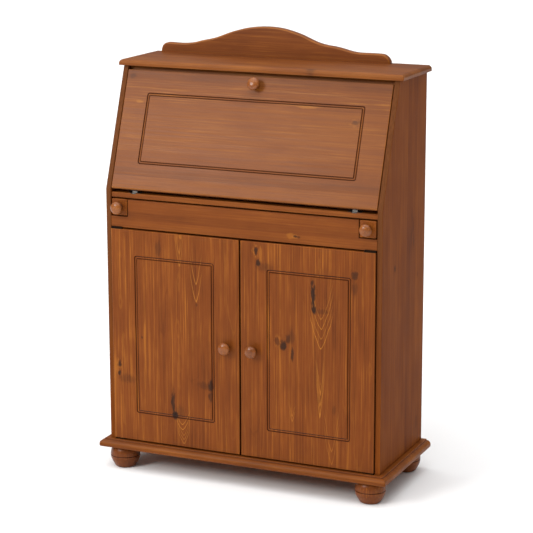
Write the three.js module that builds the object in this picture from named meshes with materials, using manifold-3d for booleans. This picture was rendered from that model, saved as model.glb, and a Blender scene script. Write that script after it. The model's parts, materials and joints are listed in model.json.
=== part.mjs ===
// Secretary desk in stained knotty pine: a shallow two-door cabinet on bun feet, a writing
// compartment above it behind a sloping drop front, two pull-out lopers that carry the drop
// front when it is open, and a scrolled crest board on the top.
//
// Millimetres, +Z up, -Y is the front, +X is the right-hand side seen from the front.
// Inside the outer group, Y = 0 is the plane of the side panels' upright front edges, X = 0 is
// the middle of the case and Z = 0 is the floor. The outer group then moves the whole desk so
// that the origin is the middle of its footprint.
import * as THREE from 'three';
import { mergeVertices } from 'three/addons/utils/BufferGeometryUtils.js';
import Module from 'manifold-3d';

const wasm = await Module();
wasm.setup();

// ---------------------------------------------------------------- driving dimensions
const FIT = 0.3;                 // gap kept between neighbouring pieces

const CASE_W = 790;              // outside of side panel to outside of side panel
const SIDE_T = 14;               // side panel thickness
const SIDE_D = 321;              // side panel depth at the cabinet
const KNEE_Z = 778.2;            // height where the side panels start to slope back
const TOP_UNDER_Z = 1097;        // underside of the top board
const SLOPE_DEG = 19.8;          // lean of the drop front from the vertical
const BASE_TOP_Z = 82;           // upper face of the base board
const BASE_T = 22.5;             // base board thickness
const BASE_OVER = 24;            // base board overhang at the front and the sides
const BASE_BACK_Y = 331;         // rear edge of the base board
const TOP_T = 16;                // top board thickness
const TOP_OVER = 12;             // top board overhang at the sides
const TOP_FRONT_Y = 107;         // front edge of the top board
const TOP_BACK_Y = 323;          // rear edge of the top board
const CREST_SEAT = 0.6;          // depth of the rebate along the back of the top board, where the crest board stands
const CREST_FRONT_Y = TOP_BACK_Y - 27;

const FOOT_R = 40.5;             // bun foot, largest radius
const FOOT_X = 361.6;            // bun foot axis from the middle
const FOOT_FRONT_Y = 20;
const FOOT_REAR_Y = 290;

const BOARD_TOP_Z = 770.5;       // writing surface height
const BOARD_T = 14;              // writing board thickness
const BOARD_FRONT_Y = 4;         // front edge of the writing board

const RAIL_T = 18;               // front rail
const RAIL_FRONT_Y = 0.5;
const RAIL_LOW_Z = 676.5;
const RAIL_HIGH_Z = 753.2;
const NOTCH_X = 330.7;           // the rail's notches for the lopers start here
const NOTCH_Z = 706.5;

const LOPER_W = 44.5;
const LOPER_H = 44;
const LOPER_X = 333;             // inner face of each loper
const LOPER_Z = 709.2;           // underside of each loper
const LOPER_LEN = 299.5;
const LOPER_TRAVEL = 215;

const FALL_T = 17;               // drop front thickness
const FALL_PROUD = 0.5;          // drop front's outer face in front of the slope edges
const FALL_LOW = 3.2;            // lower edge, measured up the slope from the knee
const FALL_HIGH = 328.5;         // upper edge, measured up the slope from the knee
const FALL_HALF_W = 379.4;
const FALL_PIVOT_Y = 11.36;      // hinge line of the drop front
const FALL_PIVOT_Z = 768.1;
const FALL_HINGE_X = 315;        // middle of each drop-front hinge
const FALL_KNOB_UP = 304.4;      // knob axis, measured up the slope from the knee

const DOOR_T = 18;
const DOOR_FRONT_Y = -6;
const DOOR_LOW_Z = 85;
const DOOR_HIGH_Z = 673.5;
const DOOR_IN_X = 1.25;          // meeting edge
const DOOR_OUT_X = 379.8;        // hinge edge
const DOOR_PIVOT_X = 374;
const DOOR_PIVOT_Y = -0.5;
const DOOR_KNOB_X = 38.7;
const DOOR_KNOB_Z = 379;

const KNOB_R = 16.8;             // turned knob, largest radius
const KNOB_LEN = 27;             // how far a knob stands out

const SHELF_Z = 372;             // underside of the cabinet shelf
const SHELF_T = 16;
const GALLERY_Z = 926;           // underside of the pigeonhole shelf
const GALLERY_T = 12;

const IN_X = CASE_W / 2 - SIDE_T;            // inner face of the side panels
const FILL_X = IN_X - FIT;                   // end of a board that runs from side to side
const SLOPE = THREE.MathUtils.degToRad(SLOPE_DEG);
const SLOPE_RUN = (TOP_UNDER_Z - KNEE_Z) * Math.tan(SLOPE);

// ---------------------------------------------------------------- materials
const wood = (color, roughness = 0.45) => new THREE.MeshStandardMaterial({ color, roughness, metalness: 0 });
const PINE_FRONT = wood(0x9a5f3a);
const PINE_DOOR = wood(0x8a5230);
const PINE_SIDE = wood(0x784b30);
const PINE_TOP = wood(0x9b6e50);
const PINE_TURNED = wood(0xa06a45, 0.38);
const PINE_FOOT = wood(0x6e4328, 0.42);
const PINE_INNER = wood(0xa5734a, 0.6);
const BACKING = wood(0x8c6544, 0.8);
const STEEL = new THREE.MeshStandardMaterial({ color: 0xbfbfbd, roughness: 0.3, metalness: 1 });
const BRONZE = new THREE.MeshStandardMaterial({ color: 0x33241b, roughness: 0.5, metalness: 1 });
const CATCH = new THREE.MeshStandardMaterial({ color: 0x4a3326, roughness: 0.6, metalness: 0 });

// ---------------------------------------------------------------- solid helpers
function shapeOf(points, holes = []) {
  const shape = new THREE.Shape(points.map(([a, b]) => new THREE.Vector2(a, b)));
  for (const hole of holes) shape.holes.push(new THREE.Path(hole.map(([a, b]) => new THREE.Vector2(a, b))));
  return shape;
}
function extrude(points, depth, holes) {
  return new THREE.ExtrudeGeometry(shapeOf(points, holes), { depth, bevelEnabled: false, steps: 1 });
}
const basis = (a, b, c) => new THREE.Matrix4().makeBasis(new THREE.Vector3(...a), new THREE.Vector3(...b), new THREE.Vector3(...c));
// outline in (y, z), run along X
function prismX(points, x0, x1, holes) {
  return extrude(points, x1 - x0, holes).applyMatrix4(basis([0, 1, 0], [0, 0, 1], [1, 0, 0])).translate(x0, 0, 0);
}
// outline in (x, z), run along Y
function prismY(points, y0, y1, holes) {
  return extrude(points, y1 - y0, holes).applyMatrix4(basis([1, 0, 0], [0, 0, 1], [0, -1, 0])).translate(0, y1, 0);
}
// outline in (x, y), run along Z
function prismZ(points, z0, z1, holes) {
  return extrude(points, z1 - z0, holes).translate(0, 0, z0);
}
function block(x0, x1, y0, y1, z0, z1) {
  return new THREE.BoxGeometry(x1 - x0, y1 - y0, z1 - z0).translate((x0 + x1) / 2, (y0 + y1) / 2, (z0 + z1) / 2);
}
const rect = (a0, a1, b0, b1) => [[a0, b0], [a1, b0], [a1, b1], [a0, b1]];
// turned piece: profile of [radius, height] from axis to axis, its axis along +Z
function turned(profile, segments) {
  return new THREE.LatheGeometry(profile.map(([r, h]) => new THREE.Vector2(r, h)), segments).rotateX(Math.PI / 2);
}
// round rod along an axis ('x', 'y' or 'z') between two stations
function rod(axis, r, from, to, centre, segments = 16) {
  const g = new THREE.CylinderGeometry(r, r, to - from, segments);
  if (axis === 'x') g.rotateZ(Math.PI / 2).translate((from + to) / 2, centre[0], centre[1]);
  if (axis === 'y') g.translate(centre[0], (from + to) / 2, centre[1]);
  if (axis === 'z') g.rotateX(Math.PI / 2).translate(centre[0], centre[1], (from + to) / 2);
  return g;
}
function solid(geometry) {
  const g = geometry.clone();
  g.deleteAttribute('normal');
  if (g.getAttribute('uv')) g.deleteAttribute('uv');
  const m = mergeVertices(g, 1e-4);
  return new wasm.Manifold(new wasm.Mesh({
    numProp: 3,
    vertProperties: new Float32Array(m.getAttribute('position').array),
    triVerts: new Uint32Array(m.index.array),
  }));
}
function geometryOf(manifold) {
  const mesh = manifold.getMesh();
  const position = new Float32Array(mesh.numVert * 3);
  for (let i = 0; i < mesh.numVert; i++) {
    for (let k = 0; k < 3; k++) position[3 * i + k] = mesh.vertProperties[mesh.numProp * i + k];
  }
  const g = new THREE.BufferGeometry();
  g.setAttribute('position', new THREE.BufferAttribute(position, 3));
  g.setIndex(Array.from(mesh.triVerts));
  g.computeVertexNormals();
  return g;
}
const cut = (body, ...tools) => geometryOf(tools.reduce((s, t) => s.subtract(solid(t)), solid(body)));
const join = (body, ...adds) => geometryOf(adds.reduce((s, t) => s.add(solid(t)), solid(body)));
const common = (a, b) => geometryOf(solid(a).intersect(solid(b)));

const desk = new THREE.Group();
const fallGroup = new THREE.Group();          // local +Z runs up the slope, local -Y points out of it
fallGroup.position.set(0, 0, KNEE_Z);
fallGroup.rotation.x = -SLOPE;
desk.add(fallGroup);

function piece(name, geometry, material, parent = desk) {
  const mesh = new THREE.Mesh(geometry, material);
  mesh.name = name;
  parent.add(mesh);
  return mesh;
}
const SIDES = [['left', -1], ['right', 1]];
const span = (s, a, b) => (s < 0 ? [-b, -a] : [a, b]);   // an X interval on either side of the middle

// ---------------------------------------------------------------- bun feet
const footProfile = [
  [0, 0], [24.5, 0], [28.5, 2.2], [34, 12], [38.6, 22], [FOOT_R, 30], [FOOT_R, 32.4], [39.4, 33.4], [FOOT_R, 34.4],
  [FOOT_R - 0.4, 41], [38.2, 50], [34.5, 56], [34, BASE_TOP_Z - BASE_T - FIT], [0, BASE_TOP_Z - BASE_T - FIT],
];
for (const [row, y] of [['front', FOOT_FRONT_Y], ['rear', FOOT_REAR_Y]]) {
  for (const [side, s] of SIDES) {
    piece(`foot_${row}_${side}`, turned(footProfile, 24), PINE_FOOT).position.set(s * FOOT_X, y, 0);
  }
}

// ---------------------------------------------------------------- base board, moulded on three edges
const BASE_X = CASE_W / 2 + BASE_OVER;
const z0 = BASE_TOP_Z - BASE_T;
// nose of the moulding as [distance in from the tip, height]
const nose = [[4, z0], [1.2, z0 + 1.2], [0, z0 + 4], [0, z0 + 9.5], [1.6, z0 + 14], [5, z0 + 17.6], [9.5, z0 + 19.4], [11.5, z0 + 20], [12.5, BASE_TOP_Z]];
const baseFront = nose.map(([d, z]) => [-BASE_OVER + d, z]).concat([[BASE_BACK_Y, BASE_TOP_Z], [BASE_BACK_Y, z0]]);
const baseSides = nose.map(([d, z]) => [-BASE_X + d, z]).concat(nose.slice().reverse().map(([d, z]) => [BASE_X - d, z]));
let base = common(prismX(baseFront, -BASE_X - 1, BASE_X + 1), prismY(baseSides, -BASE_OVER - 1, BASE_BACK_Y + 1));
const LEAF_L = 32;                // pivot hinge leaf, length
const AXLE_R = 2;
const leafX = [DOOR_PIVOT_X - LEAF_L + 6, DOOR_PIVOT_X + 4.6];
const leafY = [DOOR_PIVOT_Y - 4, DOOR_PIVOT_Y + 7];
const fixedY = [DOOR_PIVOT_Y - 2.3, DOOR_PIVOT_Y + 7];
base = cut(base, ...SIDES.map(([, s]) => {
  const [a, b] = span(s, leafX[0] - FIT, leafX[1] + FIT);
  return block(a, b, fixedY[0] - FIT, fixedY[1] + FIT, BASE_TOP_Z - 1.8, BASE_TOP_Z + 5);
}));
piece('base_board', base, PINE_SIDE);

// ---------------------------------------------------------------- side panels
const PIN_R = 3;
const PIN_Z = SHELF_Z - FIT - PIN_R;
const PIN_Y = [48, 270];
const sideOutline = [
  [0, BASE_TOP_Z + FIT], [SIDE_D, BASE_TOP_Z + FIT], [SIDE_D, TOP_UNDER_Z - FIT],
  [SLOPE_RUN, TOP_UNDER_Z - FIT], [0, KNEE_Z],
];
for (const [side, s] of SIDES) {
  const [a, b] = span(s, IN_X, IN_X + SIDE_T);
  const [h0, h1] = span(s, IN_X - 2, IN_X + 7.6);
  piece(`side_panel_${side}`,
    cut(prismX(sideOutline, a, b), ...PIN_Y.map((y) => rod('x', PIN_R + FIT, h0, h1, [y, PIN_Z], 12))), PINE_SIDE);
}

// ---------------------------------------------------------------- top board, rounded on three edges
const TOP_X = CASE_W / 2 + TOP_OVER;
const lip = [[0.6, TOP_UNDER_Z], [0, TOP_UNDER_Z + 0.8], [0, TOP_UNDER_Z + 7], [1.4, TOP_UNDER_Z + 10.4], [4.6, TOP_UNDER_Z + 13.6], [9.6, TOP_UNDER_Z + TOP_T]];
const topFront = lip.map(([d, z]) => [TOP_FRONT_Y + d, z]).concat([
  [CREST_FRONT_Y - FIT, TOP_UNDER_Z + TOP_T], [CREST_FRONT_Y - FIT, TOP_UNDER_Z + TOP_T - CREST_SEAT],
  [TOP_BACK_Y, TOP_UNDER_Z + TOP_T - CREST_SEAT], [TOP_BACK_Y, TOP_UNDER_Z],
]);
const topSides = lip.map(([d, z]) => [-TOP_X + d, z]).concat(lip.slice().reverse().map(([d, z]) => [TOP_X - d, z]));
piece('top_board', common(prismX(topFront, -TOP_X - 1, TOP_X + 1), prismY(topSides, TOP_FRONT_Y - 1, TOP_BACK_Y + 1)), PINE_TOP);

// ---------------------------------------------------------------- crest board
const crestZ = TOP_UNDER_Z + TOP_T + FIT;
const crestTop = [
  [-375.6, -CREST_SEAT], [-374.6, 9], [-371.5, 17], [-366, 23], [-358, 26.3], [-344, 26.8], [-325, 26.2], [-307, 26.4], [-289, 28],
  [-270, 31.6], [-252, 36.6], [-233, 40.7], [-215, 45], [-197, 50.8], [-179, 57.8], [-161, 64.3], [-142, 70],
  [-125, 74.4], [-107, 77.8], [-89, 80.2], [-71, 81.7], [-53, 82.2], [-35, 81.6], [-18, 80], [0, 77], [17, 72.9],
  [35, 67.7], [53, 61.4], [70, 54.3], [87, 47.6], [105, 42.6], [122, 39.6], [139, 37.6], [157, 34.6], [174, 30.6],
  [191, 26.8], [208, 24.8], [225, 24.4], [259, 24.6], [278, 24], [288, 19.6], [294.5, 13], [298.6, 6.5], [299.8, -CREST_SEAT],
];
piece('crest_board', prismY(crestTop.map(([x, z]) => [x, crestZ + z]), CREST_FRONT_Y, TOP_BACK_Y - 9), PINE_TOP);

// ---------------------------------------------------------------- back panel
const BACK_T = 5.5;
piece('back_panel', block(-FILL_X, FILL_X, SIDE_D - BACK_T, SIDE_D, BASE_TOP_Z + FIT, TOP_UNDER_Z - FIT), BACKING);
const INNER_BACK_Y = SIDE_D - BACK_T - FIT;

// ---------------------------------------------------------------- writing board with its hinge seats
const HINGE_HALF = 19;            // half the length of a drop-front hinge
const KNUCKLE_R = 3;
const LEAF_T = 1.5;
let board = block(-FILL_X, FILL_X, BOARD_FRONT_Y, INNER_BACK_Y, BOARD_TOP_Z - BOARD_T, BOARD_TOP_Z);
board = cut(board, ...SIDES.flatMap(([, s]) => {
  const x = s * FALL_HINGE_X;
  return [
    block(x - HINGE_HALF - FIT, x + HINGE_HALF + FIT, FALL_PIVOT_Y - KNUCKLE_R - 0.5, 38.4, BOARD_TOP_Z - LEAF_T - FIT, BOARD_TOP_Z + 3),
    block(x - 7 - FIT, x + 7 + FIT, BOARD_FRONT_Y - 2, FALL_PIVOT_Y, BOARD_TOP_Z - LEAF_T - FIT, BOARD_TOP_Z + 3),
    block(x - HINGE_HALF - FIT, x + HINGE_HALF + FIT, FALL_PIVOT_Y - KNUCKLE_R - 0.5, FALL_PIVOT_Y + KNUCKLE_R + 0.5, FALL_PIVOT_Z - KNUCKLE_R - 0.4, BOARD_TOP_Z + 3),
  ];
}));
piece('writing_board', board, PINE_FRONT);

// ---------------------------------------------------------------- front rail, notched for the lopers
const railOutline = [
  [-FILL_X, RAIL_LOW_Z], [FILL_X, RAIL_LOW_Z], [FILL_X, NOTCH_Z], [NOTCH_X, NOTCH_Z], [NOTCH_X, RAIL_HIGH_Z],
  [-NOTCH_X, RAIL_HIGH_Z], [-NOTCH_X, NOTCH_Z], [-FILL_X, NOTCH_Z],
];
let rail = prismY(railOutline, RAIL_FRONT_Y, RAIL_FRONT_Y + RAIL_T);
rail = cut(rail, ...SIDES.map(([, s]) => {
  const [a, b] = span(s, leafX[0] - FIT, leafX[1] + FIT);
  return block(a, b, RAIL_FRONT_Y - 8, leafY[1] + FIT, RAIL_LOW_Z - 5, RAIL_LOW_Z + 1.8);
}));
piece('front_rail', rail, PINE_FRONT);

// ---------------------------------------------------------------- loper guides, L-shaped battens
const guideY0 = RAIL_FRONT_Y + RAIL_T + FIT;
for (const [side, s] of SIDES) {
  const outline = [
    [s * FILL_X, 694], [s * 319.5, 694], [s * 319.5, 722], [s * 331.5, 722], [s * 331.5, LOPER_Z - FIT], [s * FILL_X, LOPER_Z - FIT],
  ];
  piece(`loper_guide_${side}`, prismY(outline, guideY0, INNER_BACK_Y), PINE_INNER);
}

// ---------------------------------------------------------------- cabinet shelf on four pins
piece('cabinet_shelf', block(-FILL_X, FILL_X, 30, INNER_BACK_Y - 1, SHELF_Z, SHELF_Z + SHELF_T), PINE_INNER);
for (const [side, s] of SIDES) {
  PIN_Y.forEach((y, i) => {
    const [a, b] = span(s, IN_X - 9, IN_X + 7);
    piece(`shelf_pin_${['front', 'rear'][i]}_${side}`, rod('x', PIN_R, a, b, [y, PIN_Z], 12), STEEL);
  });
}

// ---------------------------------------------------------------- pigeonholes behind the drop front
piece('pigeonhole_shelf', block(-FILL_X, FILL_X, 140, INNER_BACK_Y, GALLERY_Z, GALLERY_Z + GALLERY_T), PINE_INNER);
for (const [side, s] of SIDES) {
  const x = s * 127;
  piece(`pigeonhole_divider_${side}`, block(x - 5, x + 5, 146, INNER_BACK_Y, GALLERY_Z + GALLERY_T + FIT, TOP_UNDER_Z - FIT), PINE_INNER);
}

// ---------------------------------------------------------------- batten that the shut drop front leans on
const innerFaceY = (z) => (z - KNEE_Z) * Math.tan(SLOPE) + (FALL_T - FALL_PROUD) / Math.cos(SLOPE);
const bz0 = TOP_UNDER_Z - FIT - 28;
const bz1 = TOP_UNDER_Z - FIT;
piece('fall_stop_batten', prismX([
  [innerFaceY(bz0) + FIT + 0.1, bz0], [145, bz0], [145, bz1], [innerFaceY(bz1) + FIT + 0.1, bz1],
], -FILL_X, FILL_X), PINE_INNER);

// ---------------------------------------------------------------- knobs and their screws
// mushroom knob standing on a face, axis +Z, foot at height 0, with a pilot hole for its screw
const knobProfile = [
  [0, 0], [9.5, 0], [9.6, 2], [7.4, 5.5], [7.2, 9.5], [10.5, 12.2], [15.4, 14.6], [KNOB_R, 18.4], [15.6, 22.4], [12, 25.6], [6.5, KNOB_LEN], [0, KNOB_LEN],
];
const SCREW_R = 2;
const knobSolid = () => cut(turned(knobProfile, 20), rod('z', SCREW_R + FIT, -3, 11, [0, 0], 10));
// round-head screw, axis +Z, underside of the head at height 0, thread upwards
const screw = (length) => turned([[0, -1.9], [2.6, -1.9], [4.2, -0.6], [4.2, 0], [SCREW_R, 0], [SCREW_R, length - 1.5], [0.6, length], [0, length]], 12);

// ---------------------------------------------------------------- drop front (built upright in the leaning group)
const fallOutY = -FALL_PROUD;
const fallInY = FALL_T - FALL_PROUD;
const pivotLocalY = FALL_PIVOT_Y * Math.cos(SLOPE) - (FALL_PIVOT_Z - KNEE_Z) * Math.sin(SLOPE);
const pivotLocalZ = FALL_PIVOT_Y * Math.sin(SLOPE) + (FALL_PIVOT_Z - KNEE_Z) * Math.cos(SLOPE);
const fallEdge = [
  [fallOutY + 4, FALL_LOW], [fallInY, FALL_LOW], [fallInY, FALL_HIGH], [fallOutY + 2, FALL_HIGH], [fallOutY, FALL_HIGH - 2],
  [fallOutY, FALL_LOW + 6.5], [fallOutY + 1.2, FALL_LOW + 2.4],
];
const ring = (x0, x1, za, zb, w) => [rect(x0, x1, za, zb), [rect(x0 + w, x1 - w, za + w, zb - w)]];
const [ringOut, ringIn] = ring(-312, 312, 73, 267.5, 8.5);
const fall = cut(
  prismX(fallEdge, -FALL_HALF_W, FALL_HALF_W),
  prismY(ringOut, fallOutY - 3, fallOutY + 2.2, ringIn),
  rod('y', SCREW_R + FIT, fallOutY - 2, fallInY + 2, [0, FALL_KNOB_UP], 10),
  ...SIDES.map(([, s]) => block(s * FALL_HINGE_X - HINGE_HALF - FIT, s * FALL_HINGE_X + HINGE_HALF + FIT, fallInY - LEAF_T - FIT, fallInY + 2, FALL_LOW - 2, 26 + FIT)),
);
piece('fall_front', fall, PINE_FRONT, fallGroup);

const fallKnob = piece('fall_knob', knobSolid(), PINE_TURNED, fallGroup);
fallKnob.rotation.x = Math.PI / 2;
fallKnob.position.set(0, fallOutY - FIT, FALL_KNOB_UP);
const fallScrew = piece('fall_knob_screw', screw(27), STEEL, fallGroup);
fallScrew.rotation.x = Math.PI / 2;
fallScrew.position.set(0, fallInY + FIT, FALL_KNOB_UP);

// ---------------------------------------------------------------- drop-front hinges
const BORE_R = 1.35;
const HPIN_R = 1.05;
for (const [side, s] of SIDES) {
  const x = s * FALL_HINGE_X;
  const leafFall = cut(
    join(
      block(x - HINGE_HALF, x + HINGE_HALF, fallInY - LEAF_T, fallInY, 3.2, 26),
      block(x - 7, x + 7, fallInY - LEAF_T, fallInY, pivotLocalZ, 4),
      rod('x', KNUCKLE_R, x - 7, x + 7, [pivotLocalY, pivotLocalZ], 20),
    ),
    rod('x', BORE_R, x - 9, x + 9, [pivotLocalY, pivotLocalZ], 12),
  );
  piece(`fall_hinge_leaf_${side}`, leafFall, STEEL, fallGroup);
  const leafBoard = cut(
    join(
      block(x - HINGE_HALF, x + HINGE_HALF, FALL_PIVOT_Y + 4.6, 38, BOARD_TOP_Z - LEAF_T, BOARD_TOP_Z),
      ...[[-HINGE_HALF, -7.4], [7.4, HINGE_HALF]].flatMap(([a, b]) => [
        block(x + a, x + b, FALL_PIVOT_Y, FALL_PIVOT_Y + 5, BOARD_TOP_Z - LEAF_T, BOARD_TOP_Z),
        rod('x', KNUCKLE_R, x + a, x + b, [FALL_PIVOT_Y, FALL_PIVOT_Z], 20),
      ]),
    ),
    rod('x', BORE_R, x - 21, x + 21, [FALL_PIVOT_Y, FALL_PIVOT_Z], 12),
  );
  piece(`board_hinge_leaf_${side}`, leafBoard, STEEL);
  piece(`fall_hinge_pin_${side}`, rod('x', HPIN_R, x - HINGE_HALF, x + HINGE_HALF, [FALL_PIVOT_Y, FALL_PIVOT_Z], 12), STEEL);
}

// ---------------------------------------------------------------- lopers, their knobs and stop pegs
for (const [side, s] of SIDES) {
  const [a, b] = span(s, LOPER_X, LOPER_X + LOPER_W);
  const mid = (a + b) / 2;
  const zc = LOPER_Z + LOPER_H / 2;
  const c = 1.5;
  const [p0, p1] = span(s, LOPER_X - 2, LOPER_X + 14);
  const section = [[a + c, LOPER_Z], [b - c, LOPER_Z], [b, LOPER_Z + c], [b, LOPER_Z + LOPER_H - c], [b - c, LOPER_Z + LOPER_H], [a + c, LOPER_Z + LOPER_H], [a, LOPER_Z + LOPER_H - c], [a, LOPER_Z + c]];
  const loper = cut(
    prismY(section, RAIL_FRONT_Y, RAIL_FRONT_Y + LOPER_LEN),
    rod('y', 4 + FIT, RAIL_FRONT_Y - 2, RAIL_FRONT_Y + 15, [mid, zc], 12),
    rod('x', 4 + FIT, p0, p1, [240, zc], 12),
  );
  piece(`loper_${side}`, loper, PINE_FRONT);
  const knob = piece(`loper_knob_${side}`, turned([[0, -14], [4, -14], [4, 0]].concat(knobProfile.slice(1)), 20), PINE_TURNED);
  knob.rotation.x = Math.PI / 2;
  knob.position.set(mid, RAIL_FRONT_Y - FIT, zc);
  const [q0, q1] = span(s, LOPER_X - 11, LOPER_X + 13);
  piece(`loper_stop_peg_${side}`, rod('x', 4, q0, q1, [240, zc], 12), PINE_INNER);
}

// ---------------------------------------------------------------- doors
const CATCH_X = [14, 44];
for (const [side, s] of SIDES) {
  const back = DOOR_FRONT_Y + DOOR_T;
  const c = 3;
  const plan = [
    [s * DOOR_IN_X, back], [s * DOOR_OUT_X, back], [s * DOOR_OUT_X, DOOR_FRONT_Y + c], [s * (DOOR_OUT_X - c), DOOR_FRONT_Y],
    [s * (DOOR_IN_X + 2.5), DOOR_FRONT_Y], [s * DOOR_IN_X, DOOR_FRONT_Y + 2.5],
  ];
  const [g0, g1] = span(s, 77, 311);
  const [outer, inner] = ring(g0, g1, 165.5, 600.8, 8.5);
  const [l0, l1] = span(s, leafX[0] - FIT, leafX[1] + FIT);
  const door = cut(
    prismZ(plan, DOOR_LOW_Z, DOOR_HIGH_Z),
    prismY(outer, DOOR_FRONT_Y - 3, DOOR_FRONT_Y + 2.2, inner),
    rod('y', SCREW_R + FIT, DOOR_FRONT_Y - 2, back + 2, [s * DOOR_KNOB_X, DOOR_KNOB_Z], 10),
    block(l0, l1, leafY[0] - FIT, leafY[1] + FIT, DOOR_LOW_Z - 2, DOOR_LOW_Z + 2.9),
    block(l0, l1, leafY[0] - FIT, leafY[1] + FIT, DOOR_HIGH_Z - 2.9, DOOR_HIGH_Z + 2),
  );
  piece(`door_${side}`, door, PINE_DOOR);

  const knob = piece(`door_knob_${side}`, knobSolid(), PINE_TURNED);
  knob.rotation.x = Math.PI / 2;
  knob.position.set(s * DOOR_KNOB_X, DOOR_FRONT_Y - FIT, DOOR_KNOB_Z);
  const fastener = piece(`door_knob_screw_${side}`, screw(28), STEEL);
  fastener.rotation.x = Math.PI / 2;
  fastener.position.set(s * DOOR_KNOB_X, back + FIT, DOOR_KNOB_Z);

  // pivot hinges let into the ends of the door, the rail and the base board
  const px = s * DOOR_PIVOT_X;
  const [a, b] = span(s, leafX[0], leafX[1]);
  const plate = (za, zb, y = leafY) => block(a, b, y[0], y[1], za, zb);
  const axle = (za, zb) => rod('z', AXLE_R, za, zb, [px, DOOR_PIVOT_Y], 16);
  const eye = (za, zb) => rod('z', AXLE_R + FIT, za, zb, [px, DOOR_PIVOT_Y], 16);
  piece(`door_pivot_base_${side}`, join(plate(BASE_TOP_Z - 1.5, BASE_TOP_Z + 1.3, fixedY), axle(BASE_TOP_Z, DOOR_LOW_Z + 2.4)), BRONZE);
  piece(`door_leaf_lower_${side}`, cut(plate(DOOR_LOW_Z - 1.2, DOOR_LOW_Z + 1.8), eye(DOOR_LOW_Z - 3, DOOR_LOW_Z + 4)), BRONZE);
  piece(`door_pivot_rail_${side}`, join(plate(RAIL_LOW_Z - 1.2, RAIL_LOW_Z + 1.5, fixedY), axle(DOOR_HIGH_Z - 2.4, RAIL_LOW_Z)), BRONZE);
  piece(`door_leaf_upper_${side}`, cut(plate(DOOR_HIGH_Z - 1.8, DOOR_HIGH_Z + 1.2), eye(DOOR_HIGH_Z - 4, DOOR_HIGH_Z + 3)), BRONZE);

  // magnetic catch under the rail and its plate on the door
  const [m0, m1] = span(s, ...CATCH_X);
  piece(`magnetic_catch_${side}`, block(m0, m1, back + 1.8, RAIL_FRONT_Y + RAIL_T + 11, 660.5, RAIL_LOW_Z - FIT), CATCH);
  piece(`catch_plate_${side}`, block(m0, m1, back + FIT, back + 1.4, 658, DOOR_HIGH_Z - 1), STEEL);
}

// ---------------------------------------------------------------- whole desk, origin in the middle of its footprint
const frontmost = DOOR_FRONT_Y - FIT - KNOB_LEN;
const part = new THREE.Group();
desk.position.y = -(frontmost + BASE_BACK_Y) / 2;
part.add(desk);
part.updateMatrixWorld(true);

export default part;
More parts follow.
